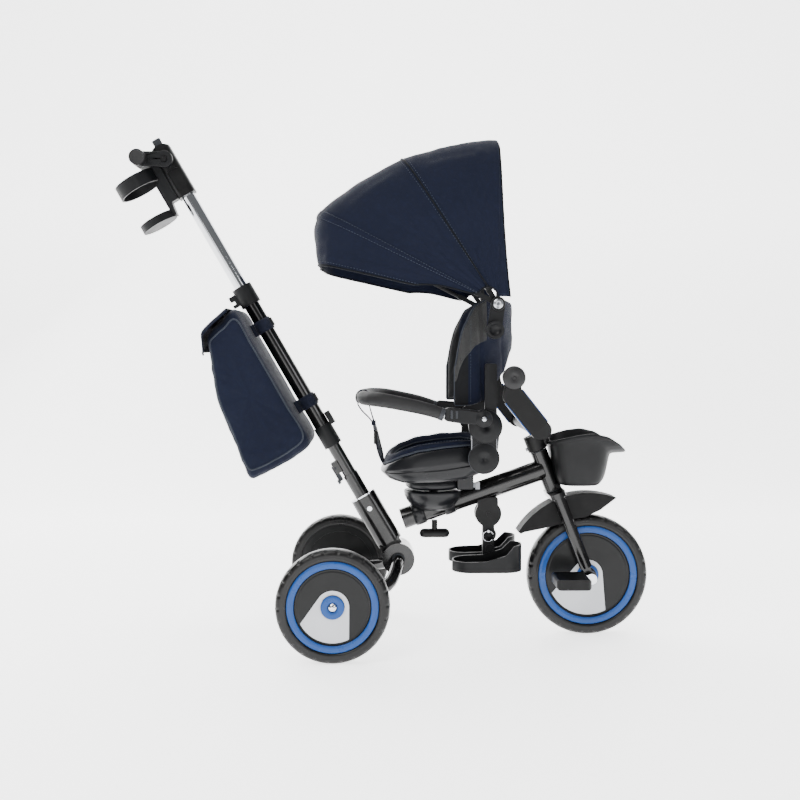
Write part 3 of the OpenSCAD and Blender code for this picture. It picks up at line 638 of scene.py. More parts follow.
def arc_table(w, r0, r, power=0.34, count=400):
    """A superellipse half-hoop from one side to the other, resampled by length."""
    p = np.linspace(0, math.pi, count * 4)
    y = w * np.sign(np.cos(p)) * np.abs(np.cos(p)) ** power
    h = r0 + (r - r0) * np.clip(np.sin(p), 0, 1) ** power
    run = np.concatenate([[0], np.cumsum(np.hypot(np.diff(y), np.diff(h)))])
    return y, h, run


def hood_row(angle, count, extra=0.0, share=(0.0, 1.0)):
    """Points across the hood at one angle, and their distance along it."""
    r, r0 = between(HOOD_R, angle), between(HOOD_R0, angle)
    y, h, run = arc_table(HALF, r0, r)
    s = np.linspace(share[0], share[1], count) * run[-1]
    yy, hh = np.interp(s, run, y), np.interp(s, run, h)
    a = math.radians(angle)
    out = []
    for i, (u, v) in enumerate(zip(yy, hh)):
        # how far this angle is from the bows that hold the cloth up
        near = min(abs(angle - b) for b in (90, 123, 153))
        loose = min(1.0, near / 9.0) ** 1.4
        k = s[i] / run[-1]
        side = abs(2 * k - 1)
        sag = -5.5 * loose * (1 - side ** 2)
        fold = 2.6 * loose * noise.noise(Vector((angle * 0.05, k * 9, 3.1)))
        fold += 1.5 * loose * noise.noise(Vector((angle * 0.22, k * 3.0, 8.2)))
        fold += 1.2 * min(1, near / 3) * noise.noise(Vector((angle * 0.5, k * 26, 1.7)))
        # the hem hangs a little unevenly
        if angle > 160:
            fold += 1.6 * math.sin(k * 31) * (angle - 160) / 8
        flat = 1.0 if abs(u) > 150 else 0.0
        d = sag * (1 - flat) + fold + extra
        n2 = Vector((0, u / HALF ** 1.2, v / max(r, 1) * 0.5))
        if side > 0.55:
            n2 = Vector((0, math.copysign(1, u), 0.15))
        n2.normalize()
        du, dv = n2.y * d, n2.z * d
        rr = v + dv
        out.append(PIVOT + Vector((rr * math.cos(a), u + du, rr * math.sin(a))))
    return out, s


def hood_piece(name, a0, a1, rows, count=86):
    angles = list(np.linspace(a0, a1, rows))
    grid, uvs = [], []
    for a in angles:
        pts, s = hood_row(a, count)
        grid.append(pts)
        uvs.append([((x - s[-1] / 2) * MM, math.radians(a) * 0.35) for x in s])
    return grid_sheet(name, grid, uvs, "navy", 1.3, 1)


def hood_line(angle, lift, count=160, share=(0.0, 1.0)):
    return hood_row(angle, count, lift, share)[0]


def hood_band(name, angle, width_deg, lift, material="navy"):
    rows, uvs = [], []
    for t in (-1, -0.6, 0, 0.6, 1):
        pts, s = hood_row(angle + t * width_deg, 110, lift * (1.0 if abs(t) < 0.9 else 0.35))
        rows.append(pts)
        uvs.append([(x * MM, t * 0.006) for x in s])
    return grid_sheet(name, rows, uvs, material, 0.8, 1)


hood_back = hood_piece("hood_cloth_rear", 89.6, 123.0, 30)
hood_front = hood_piece("hood_cloth_front", 123.0, 167.5, 40)

# The curtain that drops behind the rear bow, pulled in by a gathered hem.
rows, uvs = [], []
for i, t in enumerate(np.linspace(0, 1, 9)):
    base, s = hood_row(90.8, 86, -1.0)
    row = []
    for k, p in enumerate(base):
        q = k / 85
        side = abs(2 * q - 1)
        back = t * (7 + 16 * side ** 3)
        inward = 5 * t * t + 1.2 * math.sin(q * 120) * t * t
        drop = Vector((0, -math.copysign(1, p.y) * inward * side, -inward * (1 - side)))
        row.append(p + Vector((back, 0, 0)) + drop)
    rows.append(row)
    uvs.append([((x - s[-1] / 2) * MM, 0.55 - t * 0.024) for x in s])
curtain = grid_sheet("hood_cloth_curtain", rows, uvs, "navy", 1.3, 1)
curtain_edge = rows[-1]


def mid_blend(ob):
    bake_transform(ob)


def front_blend(ob):
    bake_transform(ob)


rear_binding = tube("hood_rear_binding", curtain_edge, 1.9, "navy_dark", 8)
mid_seam = tube("hood_mid_piping", hood_line(123, 1.6), 1.7, "navy_dark", 8)
mid_rows = join("hood_mid_stitching", [stitches("a", hood_line(121.9, 1.0, 300)),
                                       stitches("b", hood_line(124.1, 1.0, 300))])
front_band = hood_band("hood_front_band", 153, 1.25, 1.7)
front_rows = join("hood_front_stitching", [stitches("a", hood_line(151.95, 2.0, 300)),
                                           stitches("b", hood_line(154.05, 2.0, 300))])
hem = tube("hood_visor_binding", hood_line(167.5, 0), 2.1, "navy_dark", 8)
hem_rows = stitches("hood_hem_stitching", hood_line(166.4, 1.0, 300))
side_edges = []
for s, q in ((-1, 1.0), (1, 0.0)):
    line = [hood_row(a, 3, 0, (q, q))[0][0] for a in np.linspace(90, 123, 20)]
    side_edges.append(tube("hood_side_binding_rear_%s" % ("right" if s < 0 else "left"), line, 1.8,
        "navy_dark", 8))
    line = [hood_row(a, 3, 0, (q, q))[0][0] for a in np.linspace(123, 167.5, 40)]
    side_edges.append(tube("hood_side_binding_front_%s" % ("right" if s < 0 else "left"), line, 1.8,
        "navy_dark", 8))

for ob in (curtain, rear_binding):
    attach(ob, "backrest")
for ob in (hood_back, side_edges[0], side_edges[2]):
    mid_blend(ob)
for ob in (mid_seam, mid_rows):
    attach(ob, "hood_middle")
for ob in (hood_front, side_edges[1], side_edges[3]):
    front_blend(ob)
for ob in (front_band, front_rows, hem, hem_rows):
    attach(ob, "hood_front")
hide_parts("hood_rear_panel")
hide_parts("hood_mid_panel")
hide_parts("hood_front_panel", "hood_visor")


# ---------------------------------------------------------------- wheels
def tyre(name, centre, radius, width, deep, marks):
    """A foamed tyre: crowned tread with fine rib lines and moulded notches on the shoulders."""
    half = width / 2
    base = [(radius - deep, -half + 2)]
    for a in np.linspace(-90, 90, 61):
        r = radius - deep + 3 + (deep - 3) * math.cos(math.radians(a)) ** 0.55
        h = math.copysign(half * abs(math.sin(math.radians(a))) ** 0.55, math.sin(math.radians(a)))
        base.append((r, h))
    base.append((radius - deep, half - 2))
    turns = 288
    verts, faces, uvs = [], [], []
    n = len(base)
    for k in range(turns):
        a = 2 * math.pi * k / turns
        phase = (k * marks / turns) % 1.0
        for i, (r, h) in enumerate(base):
            share = abs(h) / half
            cut = 0.0
            if 0.60 < share < 0.97 and r > radius - 13 and phase < 0.24:
                cut = 1.5 * math.sin(math.pi * phase / 0.24) ** 0.5
            if abs(share - 0.42) < 0.035:
                cut = max(cut, 0.8)
            if abs(r - (radius - deep * 0.62)) < 0.7:
                cut = max(cut, 0.35)
            rr = r - cut
            hh = h * (1 - cut / half * 0.6)
            verts.append((centre[0] + rr * math.cos(a), centre[1] + hh, centre[2] + rr * math.sin(a)))
            uvs.append((a, i / n))
    for k in range(turns):
        m = (k + 1) % turns
        for i in range(n):
            j = (i + 1) % n
            faces.append([k * n + i, k * n + j, m * n + j, m * n + i])
    ob = new_object(name, verts, faces, uvs, "tyre")
    fix_normals(ob)
    return ob


def decal(name, centre, y, side, hub, reach, start, end, material="decal"):
    """The pale panel: a rounded point round the hub, widening to an arc at the rim."""
    pts = [Vector((hub * math.cos(a), 0, hub * math.sin(a))) for a in np.linspace(0, 2 * math.pi, 72,
        endpoint=False)]
    pts += [Vector((reach * math.cos(a), 0, reach * math.sin(a))) for a in np.linspace(start, end, 40)]
    flat = sorted((p.x, p.z) for p in pts)

    def half_hull(seq):
        out = []
        for p in seq:
            while len(out) >= 2 and ((out[-1][0] - out[-2][0]) * (p[1] - out[-2][1])
                                     - (out[-1][1] - out[-2][1]) * (p[0] - out[-2][0])) <= 0:
                out.pop()
            out.append(p)
        return out
    hull = half_hull(flat)[:-1] + half_hull(flat[::-1])[:-1]
    inner = 23.2
    outer_ring, inner_ring = [], []
    for x, z in hull:
        outer_ring.append((x, z))
    n = len(outer_ring)
    ang = [math.atan2(z, x) for x, z in outer_ring]
    inner_ring = [(inner * math.cos(a), inner * math.sin(a)) for a in ang]
    verts = []
    for depth in (0.0, 0.5):
        for ring_points in (outer_ring, inner_ring):
            verts += [(centre[0] + x, y + side * depth, centre[2] + z) for x, z in ring_points]
    faces = []
    for i in range(n):
        j = (i + 1) % n
        faces.append([i, j, n + j, n + i])
        faces.append([2 * n + i, 3 * n + i, 3 * n + j, 2 * n + j])
        faces.append([i, 2 * n + i, 2 * n + j, j])
        faces.append([n + i, n + j, 3 * n + j, 3 * n + i])
    ob = new_object(name, verts, faces, None, material, smooth=False)
    fix_normals(ob)
    bevel(ob, 0.15, 1, 40)
    return ob


def cover(name, centre, y, side, r_in, r_out):
    """A wheel disc: a flat face with a step, a groove and a lip at its rim."""
    prof = [(r_in, -2), (r_in, 0.2), (r_in + 4, 0.5), (r_in + 14, 0.5)]
    for r in np.linspace(r_in + 18, r_out - 8, 10):
        prof.append((r, 0.5))
    prof += [(r_out - 5, 0.5), (r_out - 4, -0.1), (r_out - 3, 0.6), (r_out - 0.6, 0.8), (r_out - 0.2, 0.2),
        (r_out - 0.2, -2)]
    return lathe(name, prof, (centre[0], y, centre[2]), "disc_plastic", side=side, turns=128, closed=True)


def hub_dome(name, centre, y, side, r, material="chrome"):
    prof = [(0.01, r * 0.72)] + [(r * math.sin(a), r * 0.72 * math.cos(a)) for a in np.linspace(0.12,
        math.pi / 2, 12)]
    prof += [(r, -1), (r + 2.2, -1.2), (r + 2.4, -2.4), (0.01, -2.4)]
    return lathe(name, prof, (centre[0], y, centre[2]), material, side=side, turns=48, closed=True)


wheels = (("rear_left", "rear_wheel_left", (-98, 220, 109), 109, 42, 21, (1,)),
          ("rear_right", "rear_wheel_right", (-98, -220, 109), 109, 42, 21, (-1,)),
          ("front", "front_wheel", (424, 0, 125), 125, 44, 21.5, (1, -1)))
for tag, body, c, R, W, deep, sides in wheels:
    node = "front_tyre" if tag == "front" else tag.replace("rear_", "rear_tyre_")
    ob = tyre(node + "_visual", c, R, W, deep, 30 if tag == "front" else 26)
    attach(ob, body)
    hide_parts(node)
    seat = R - deep
    for s in sides:
        word = "%s_%s" % (tag, "left" if s > 0 else "right")
        disc_r = seat - 15 - (0.6 if tag == "front" else 0)
        out = [cover("wheel_disc_" + word, c, c[1] + s * 15.2, s, 23.2, disc_r)]
        out.append(decal("wheel_panel_" + word, c, c[1] + s * 15.8, s, 31.5, disc_r - 4.6,
                         math.radians(207), math.radians(297)))
        # the blue trim ring has a rolled edge, and the hub ring a chamfer
        ring_prof = [(disc_r, 1), (disc_r + 0.8, 4.6), (disc_r + 2.2, 5.5), (seat - 4.5, 5.6), (seat - 1.6,
            4.9),
                     (seat - 0.6, 3.4), (seat - 0.6, 1)]
        out.append(lathe("wheel_ring_" + word, ring_prof, (c[0], c[1] + s * 14.6, c[2]), "blue_plastic",
                         side=s, turns=160, closed=True))
        hub_prof = [(9.5, 0), (9.5, 4.2), (10.4, 4.8), (21.0, 4.8), (22.6, 3.8), (22.6, 0)]
        out.append(lathe("wheel_hub_ring_" + word, hub_prof, (c[0], c[1] + s * 15.2, c[2]), "blue_plastic",
                         side=s, turns=96, closed=True))
        for o in out:
            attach(o, body)
        trim = "front_trim" if tag == "front" else tag.replace("rear_", "rear_trim_")
        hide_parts(trim)
        if tag != "front":
            for o in (hub_dome("axle_cap_" + word, c, s * 236.6, s, 8.6, "steel"),):
                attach(o, "rear_frame")


# ---------------------------------------------------------------- seat
def loft(name, layers, centre, half, power, material, count=120, close_top=False, close_bottom=True):
    """Rounded-box rings stacked up: layers of (share of length, share of width, height of x)."""
    verts, uv, faces = [], [], []
    for li, (sx, sy, height) in enumerate(layers):
        for k in range(count):
            a = 2 * math.pi * k / count
            cx, sn = math.cos(a), math.sin(a)
            x = centre[0] + half[0] * sx * math.copysign(abs(cx) ** (2 / power), cx)
            y = centre[1] + half[1] * sy * math.copysign(abs(sn) ** (2 / power), sn)
            z = height(x, y) if callable(height) else height
            verts.append((x, y, z))
            uv.append((x * MM, y * MM) if li > 4 else (a * half[0] * MM, li * 0.01))
    for i in range(len(layers) - 1):
        for k in range(count):
            m = (k + 1) % count
            faces.append([i * count + k, i * count + m, (i + 1) * count + m, (i + 1) * count + k])
    if close_bottom:
        faces.append(list(range(count))[::-1])
    if close_top:
        faces.append([(len(layers) - 1) * count + k for k in range(count)])
    ob = new_object(name, verts, faces, uv, material)
    fix_normals(ob)
    return ob


RIM = [(-8, 350), (-2, 354), (8, 363), (36, 378), (68, 389), (120, 397), (166, 401), (226, 397)]
BELT = [(-8, 345), (30, 347), (120, 355), (226, 372)]
LOW = [(-8, 341), (10, 331), (40, 325.5), (110, 328), (161, 333), (205, 347), (226, 356)]
SEAT_C, SEAT_H = (110, 0), (116, 120)


def mixed(a, b, t):
    return lambda x, y=0: between(a, x) * (1 - t) + between(b, x) * t


shell = loft("seat_shell_visual", [
    (0.30, 0.30, 326.0), (0.62, 0.62, mixed(LOW, LOW, 0)), (0.80, 0.80, mixed(LOW, LOW, 0)),
    (0.895, 0.895, mixed(LOW, BELT, 0.10)), (0.95, 0.95, mixed(LOW, BELT, 0.36)),
    (0.985, 0.985, mixed(LOW, BELT, 0.68)), (0.998, 0.998, mixed(LOW, BELT, 0.93)),
    (0.999, 0.999, mixed(LOW, BELT, 0.97)), (0.986, 0.986, mixed(BELT, RIM, 0.0)), (0.986, 0.986,
        mixed(BELT, RIM, 0.03)),
    (1.0, 1.0, mixed(BELT, RIM, 0.05)), (0.996, 0.996, mixed(BELT, RIM, 0.3)), (0.983, 0.983, mixed(BELT,
        RIM, 0.65)),
    (0.968, 0.968, mixed(BELT, RIM, 0.92)), (0.958, 0.958, mixed(BELT, RIM, 0.99)), (0.945, 0.945,
        mixed(BELT, RIM, 0.99)),
    (0.935, 0.935, mixed(BELT, RIM, 0.92)), (0.925, 0.925, mixed(BELT, RIM, 0.4)), (0.88, 0.88, mixed(LOW,
        BELT, 0.5)),
    (0.3, 0.3, 331.0)], SEAT_C, SEAT_H, 3.0, "seat_plastic", 160, close_top=True)
turn = lathe("turntable_visual", [(0.1, 288.6), (9.6, 288.6), (9.6, 304.4), (44, 304.6), (52, 307), (57,
    310.5), (57.6, 314), (56.5, 328), (0.1, 328)],
             (0, 0, 0), "seat_plastic", turns=96, closed=True, at=Matrix.Translation((103, 0, 0)))
latch_block = block("latch_housing", (150, -40, 306), (184, -20, 344), "seat_plastic", round_by=3)
studs = [lathe("recline_stud_%s" % w, [(0.1, 110), (8, 110), (8, 129.3), (0.1, 129.3)], (196, 0, 380),
    "dark_plastic", side=s, turns=40, closed=True)
         for w, s in (("left", 1), ("right", -1))]
for o in [shell, turn, latch_block] + studs:
    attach(o, "seat")
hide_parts("seat_shell")
screw_row = []
for k in range(6):
    a = math.radians(30 + 60 * k)
    screw_row.append(lathe("s", [(0.1, 0), (3, 0), (3.4, -0.5), (3.4, -1.6), (0.1, -1.6)],
                           (103 + 44 * math.cos(a), 0, 304.2), "steel", turns=20, closed=True,
                           at=Matrix.Translation((103 + 36 * math.cos(a), 36 * math.sin(a),
                               304.9)) @ Matrix.Rotation(math.pi, 4, "X")))
screws = join("turntable_screws", screw_row)
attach(screws, "seat")

# The bowl and its saddle on the main tube, which belong to the frame.
bowl = lathe("turntable_bowl", [(0.1, 303.2), (57, 303.2), (60, 302.2), (60.6, 299), (59.4, 291), (55.5,
    282), (49, 273.5),
                                (40, 266), (30, 261.4), (18, 259), (0.1, 258.5)],
             (0, 0, 0), "seat_plastic", turns=128, closed=True, at=Matrix.Translation((103, 0, 0)))
saddle_parts = []
for x0, x1, r in ((-44, -20, 23.6), (20, 44, 23.6)):
    pts = [(x0, 0, 0), (x1, 0, 0)]
    saddle_parts.append(lathe("s", [(21.7, x0), (r, x0 + 2), (r + 0.6, (x0 + x1) / 2), (r, x1 - 2), (21.7,
        x1)], (0, 0, 0), "seat_plastic",
                              turns=72, closed=True, at=TUBE @ Matrix.Rotation(math.pi / 2, 4, "Y")))
saddle = join("turntable_saddle", saddle_parts)
for o in (bowl, saddle):
    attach(o, "frame")
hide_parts("turntable_base")


# The cushion lines the shell: a padded roll round the rim and a sunk, quilted middle.
def cushion_height(depth):
    return lambda x, y=0: between(RIM, x) + depth


def soft_floor(x, y):
    base = between([(-8, 356), (40, 362), (120, 372), (180, 380), (226, 392)], x)
    quilt = -2.6 * math.exp(-((y / 3.2) ** 2)) - 2.2 * math.exp(-(((abs(y) - 52) / 3.0) ** 2))
    quilt += -2.0 * math.exp(-(((x - 70) / 3.0) ** 2)) - 2.0 * math.exp(-(((x - 140) / 3.0) ** 2))
    puff = 2.6 * math.cos(y / 52 * math.pi) ** 2 * math.cos((x - 105) / 70 * math.pi) ** 2
    wrinkle = 1.6 * noise.noise(Vector((x * 0.035, y * 0.035, 1.3))) + 0.7 * noise.noise(Vector((x * 0.11,
        y * 0.11, 4)))
    return base + quilt + puff + wrinkle + 10 * abs(y / 120) ** 3


def rolled(depth, amount):
    return lambda x, y=0: between(RIM, x) + depth + amount * noise.noise(Vector((x * 0.03, y * 0.03,
        depth * 0.1)))


cushion = loft("seat_cushion_visual", [
    (0.90, 0.90, cushion_height(-22)), (0.925, 0.925, cushion_height(-12)), (0.935, 0.935,
        cushion_height(-1)),
    (0.962, 0.962, rolled(2.0, 0.8)), (0.972, 0.972, rolled(6.5, 1.4)), (0.960, 0.960, rolled(11.5, 2.0)),
    (0.925, 0.925, rolled(14.5, 2.4)), (0.88, 0.88, rolled(14.0, 2.6)), (0.84, 0.84, rolled(9.0, 2.4)),
    (0.81, 0.81, rolled(1.0, 2.0)), (0.79, 0.79, lambda x, y: soft_floor(x, y) + 3), (0.76, 0.76, soft_floor)]
    + [(s, s, soft_floor) for s in np.linspace(0.72, 0.02, 26)], SEAT_C, (112, 116), 3.0, "navy", 180,
        close_top=True)
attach(cushion, "seat")
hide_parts("seat_cushion")


def rim_line(share, lift, count=200, span=(0, 2 * math.pi)):
    out = []
    for a in np.linspace(span[0], span[1], count):
        cx, sn = math.cos(a), math.sin(a)
        x = SEAT_C[0] + 112 * share * math.copysign(abs(cx) ** (2 / 3), cx)
        y = 116 * share * math.copysign(abs(sn) ** (2 / 3), sn)
        out.append((x, y, between(RIM, x) + lift))
    return out


piping = tube("seat_cushion_piping", rim_line(0.975, 3.4)[:-1], 2.0, "binding", 8, closed=True)
inner_piping = tube("seat_cushion_inner_piping", rim_line(0.80, 3.0)[:-1], 1.5, "binding", 8, closed=True)
rim_rows = stitches("seat_cushion_stitching", rim_line(0.935, 15.0))
for o in (piping, inner_piping, rim_rows):
    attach(o, "seat")


# ---------------------------------------------------------------- backrest
LOW_Z = [(0, 600), (20, 586), (33, 551), (46, 528), (57, 497), (70, 488), (84, 486)]
HIGH_Z = [(0, 683), (30, 690), (57, 688), (68, 674), (78, 632), (82, 596), (84, 560)]


def back_point(alpha, v, r):
    a = abs(alpha)
    z0, z1 = between(LOW_Z, a), between(HIGH_Z, a)
    z = z0 + (z1 - z0) * v
    t = math.radians(alpha)
    return Vector((128 + r * math.cos(t), r * math.sin(t), z))


def edge_round(u, v, power=8):
    return max(0.0, (1 - abs(u) ** power)) ** 0.5 * max(0.0, (1 - abs(2 * v - 1) ** power)) ** 0.5


def back_pillow(name, thick, r_back):
    nu, nv = 110, 56
    rows_f, rows_b = [], []
    for j in range(nv + 1):
        v = j / nv
        rf, rb = [], []
        for i in range(nu + 1):
            u = 2 * i / nu - 1
            alpha = 84 * u
            e = edge_round(u, v)
            seam = 0.0
            for s in (-0.52, 0.52):
                seam += math.exp(-((u - s) / 0.016) ** 2)
            for s in (0.3, 0.62):
                if abs(u) < 0.52:
                    seam += math.exp(-((v - s) / 0.022) ** 2)
            seam = min(seam, 1.0)
            puff = 3.5 * math.sin(math.pi * min(1,
                abs(u) / 0.52)) if abs(u) < 0.52 else 6.0 * math.sin(math.pi * (abs(u) - 0.52) / 0.48)
            w = 1.5 * noise.noise(Vector((alpha * 0.06, v * 6,
                2.2))) + 0.6 * noise.noise(Vector((alpha * 0.25, v * 22, 5)))
            r = r_back - e * (thick + puff - 6.0 * seam + w)
            rf.append(back_point(alpha, v, r))
            rb.append(back_point(alpha, v, r_back))
        rows_f.append(rf)
        rows_b.append(rb)
    m = nu + 1
    verts = [tuple(p) for row in rows_f for p in row] + [tuple(p) for row in rows_b for p in row]
    base = (nv + 1) * m
    faces, mats = [], []
    for j in range(nv):
        for i in range(nu):
            faces.append([j * m + i, j * m + i + 1, (j + 1) * m + i + 1, (j + 1) * m + i])
            u = abs(2 * (i + 0.5) / nu - 1)
            mats.append(1 if u > 0.84 else 0)
            faces.append([base + j * m + i, base + (j + 1) * m + i, base + (j + 1) * m + i + 1,
                base + j * m + i + 1])
            mats.append(0)
    uv = [((2 * i / nu - 1) * 0.19, j / nv * 0.2) for j in range(nv + 1) for i in range(nu + 1)] * 2
    ob = new_object(name, verts, faces, uv, "navy")
    ob.data.materials.append(M["charcoal"])
    ob.data.polygons.foreach_set("material_index", mats)
    bm = bmesh.new()
    bm.from_mesh(ob.data)
    bmesh.ops.remove_doubles(bm, verts=bm.verts, dist=2e-5)
    bmesh.ops.recalc_face_normals(bm, faces=bm.faces)
    bm.to_mesh(ob.data)
    bm.free()
    return ob


pillow = back_pillow("backrest_pad_visual", 20, 125.6)
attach(pillow, "backrest")
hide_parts("backrest_pad")

# The cover drawn round the outside of the shell, with mesh at its top corners.
rows, uvs = [], []
for j in range(41):
    v = j / 40
    row, uvr = [], []
    for i in range(121):
        u = 2 * i / 120 - 1
        alpha = 85.5 * u
        bulge = 1.2 + 3.2 * edge_round(u, v, 4) * (0.6 + 0.4 * noise.noise(Vector((alpha * 0.05, v * 3, 7))))
        bulge += 1.5 * noise.noise(Vector((alpha * 0.10, v * 5, 9.4))) * edge_round(u, v, 4)
        crease = 0.0
        for s, amp in ((0.70, 2.6), (0.42, 1.4)):
            crease += amp * math.exp(-((abs(u) - s - 0.06 * v) / 0.02) ** 2)
        p = back_point(alpha, v * 1.03 - 0.015, 133.2 + bulge - crease)
        row.append(p)
        uvr.append((u * 0.2, v * 0.2))
    rows.append(row)
    uvs.append(uvr)
cover_ob = grid_sheet("backrest_cover", rows, uvs, "navy", 1.4, 1)
cover_ob.data.materials.append(M["charcoal"])
cover_ob.data.materials.append(M["wing"])
index = []
for j in range(40):
    for i in range(120):
        u, v = abs(2 * (i + 0.5) / 120 - 1), (j + 0.5) / 40
        if v > 0.60 and 0.66 < u:
            index.append(2)
        elif u > 0.86:
            index.append(1)
        else:
            index.append(0)
cover_ob.data.polygons.foreach_set("material_index", index)
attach(cover_ob, "backrest")


def back_line(r, alphas, v=None, vs=None):
    if vs is None:
        return [tuple(back_point(a, v, r)) for a in alphas]
    return [tuple(back_point(a, q, r)) for a, q in zip(alphas, vs)]


edge = (back_line(130, np.linspace(-84.5, 84.5, 90), 1.01) + back_line(130, [85] * 30, vs=np.linspace(0.98,
    0.02, 30))
        + back_line(130, np.linspace(84.5, -84.5, 90), -0.01) + back_line(130, [-85] * 30,
            vs=np.linspace(0.02, 0.98, 30)))
back_piping = tube("backrest_piping", edge, 2.4, "binding", 8, closed=True)
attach(back_piping, "backrest")
panel_rows = []
for s in (-1, 1):
    panel_rows.append(stitches("a", back_line(139.5, [s * 72.5] * 40, vs=np.linspace(0.03, 0.97, 40))))
    panel_rows.append(stitches("b", back_line(139.5, [s * 56.0] * 40, vs=np.linspace(0.62, 0.97, 40))))
panel_stitch = join("backrest_stitching", panel_rows)
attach(panel_stitch, "backrest")

# Casings on the recline arms, with a grey rim ring and pale strips that are painted edge highlights.
for w, s in (("left", 1), ("right", -1)):
    parts = []
    for (x, z), r, y in (((196, 380), 30, 138), ((199, 443), 33, 140)):
        parts.append(lathe("c", [(0.1, y + 2.2), (r * 0.55, y + 2.0), (r * 0.62, y + 1.2), (r * 0.86,
            y + 1.4), (r * 0.90, y + 0.5),
                                 (r - 1.5, y + 0.4), (r - 0.3, y - 0.8), (r + 0.2, y - 3), (r + 0.2,
                                     y - 8), (0.1, y - 8)],
                           (x, 0, z), "dark_plastic", side=s, turns=96, closed=True))
    cap = join("casing_%s" % w, parts)
    # The grey rim ring and the two pale strips stand in for bright edge lines: painted highlights on the black casing
    # and plate.
    rings = join("casing_lines_%s" % w, [
        lathe("r", [(29.2, 138.0), (30.9, 137.4), (30.9, 134.6), (29.2, 134.6)], (196, 0, 380),
            "grey_plastic", side=s, turns=96, closed=True),
        block("r", (171.2, s * 136.0 if s > 0 else -138.0, 392), (172.6, s * 138.0 if s > 0 else -136.0,
            428), "pale_plastic", round_by=0.4),
        block("r", (220.6, s * 136.0 if s > 0 else -138.0, 392), (222.0, s * 138.0 if s > 0 else -136.0,
            428), "pale_plastic", round_by=0.4)])
    for o in (cap, rings):
        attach(o, "backrest")


# ---------------------------------------------------------------- guard rail and strap
HALF_RAIL = [(116, 152, 467), (96, 152, 474), (70, 151.5, 481), (31, 149, 489), (2, 138, 494), (-22, 112,
    496), (-36, 76, 496),
             (-41, 36, 495)]
rail_points = HALF_RAIL + [(-42, 0, 494.5)] + [(x, -y, z) for x, y, z in HALF_RAIL[::-1]]
rail_line = catmull(rail_points, 10)
n = len(rail_line)
rail_r = []
for i in range(n):
    t = abs(2 * i / (n - 1) - 1)
    r = 14.2 - 2.6 * max(0, (t - 0.45) / 0.55) ** 1.3
    r += 0.25 * noise.noise(Vector((i * 0.2, 1, 1)))
    rail_r.append(r)
foam_bar = tube("rail_foam_visual", rail_line, rail_r, "foam", 32)
ends = []
for s in (1, -1):
    p, q = Vector((116, s * 152, 467)), Vector((96, s * 152, 474))
    d = (p - q).normalized()
    ends.append(tube("e", [q + d * 14, q + d * 22], 12.6, "grey_plastic", 32))
    ends.append(tube("e", [q + d * 10, p + d * 8], 7.5, "steel", 24))
rail_ends = join("rail_end_caps", ends)
for o in (foam_bar, rail_ends):
    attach(o, "rail")
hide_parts("rail_foam")

for w, s in (("left", 1), ("right", -1)):
    parts = [lathe("j", [(0.1, 163), (8, 163), (9, 161.8), (15, 161.8), (16.4, 160.4), (16.6, 150), (16.4,
        141.4), (0.1, 141.4)],
                   (194, 0, 459), "dark_plastic", side=s, turns=72, closed=True),
             plate("k", [(117, 457), (117, 478), (124, 481), (160, 478), (186, 474), (194, 468), (190,
                 450), (178, 448), (150, 450), (124, 454)],
                   s * 143 if s > 0 else -161, s * 161 if s > 0 else -143, "dark_plastic", 3.0),
             block("l", (129, s * 160 if s > 0 else -162.6, 460), (133, s * 162.6 if s > 0 else -160, 476),
                 "grey_plastic", round_by=0.8),
             block("l", (139, s * 160 if s > 0 else -162.6, 460), (143, s * 162.6 if s > 0 else -160, 475),
                 "grey_plastic", round_by=0.8),
             hub_dome("m", (194, 0, 459), s * 163.2, s, 5.0, "steel")]
    j = join("rail_joint_visual_%s" % w, parts)
    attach(j, "rail")
    if s > 0:
        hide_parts("rail_joints")

# Crotch strap: a loop round the foam, joined in a teardrop, and a tail down to the seat.
ring_points = [(-42 + 15.6 * math.cos(a),
    494.5 + 15.6 * math.sin(a)) for a in np.linspace(math.radians(-48), math.radians(228), 30)]
path = [(-19, 441), (-25, 460), (-30, 479)] + ring_points + [(-53, 479), (-44, 466), (-30, 452), (-21, 440)]
tail = [(-21, 446), (-18, 430), (-13, 408), (-8, 386), (-3, 366), (1, 354)]


def band(name, line, width, material, wave_amount=0.0, thick=2.2, twist=0.0):
    pts = catmull([(x, 0, z) for x, z in line], 5)
    rows, uvs, run = [], [], 0.0
    for i, p in enumerate(pts):
        if i:
            run += (p - pts[i - 1]).length
        row, uvr = [], []
        for k in range(9):
            t = k / 4 - 1
            bend = wave_amount * noise.noise(Vector((run * 0.02, t * 0.8, 3)))
            row.append((p.x + bend + t * width / 2 * twist * math.sin(math.pi * i / (len(pts) - 1)),
                t * width / 2, p.z + bend * 0.4))
            uvr.append((run * MM, t * width / 2 * MM))
        rows.append(row)
        uvs.append(uvr)
    return grid_sheet(name, rows, uvs, material, thick, 1), pts, run


loop_ob, _, loop_len = band("crotch_strap_loop", path, 27, "webbing", 0.8)
tail_ob, tail_pts, tail_len = band("crotch_strap_tail", tail, 27, "webbing", 2.4, twist=0.4)
strap_rows = []
for s in (-1, 1):
    strap_rows.append(stitches("a", [p + Vector((0.9, s * 11.6, 0)) for p in tail_pts], step=5))
    strap_rows.append(stitches("b", [p + Vector((-1.1, s * 11.6, 0)) for p in tail_pts], step=5))
strap_rows.append(block("c", (-25, -13, 437), (-16, 13, 446), "webbing", round_by=1.2))
buckle = block("buckle", (-20.5, -16, 398), (-13.0, 16, 426), "black_plastic", round_by=2.2)
strap_stitch = join("crotch_strap_stitching", strap_rows)
for o in (loop_ob, tail_ob, strap_stitch, buckle):
    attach(o, "rail")
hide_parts("crotch_strap")


# ---------------------------------------------------------------- bag on the push bar
BAG = [(-27, 304), (-26, 380), (-25, 460), (-25, 540), (-26, 604), (-60, 600), (-99, 592), (-112, 562),
    (-128, 520), (-147, 470),
       (-156, 420), (-161, 380), (-169, 330), (-170, 298), (-150, 291), (-110, 289), (-70, 290)]


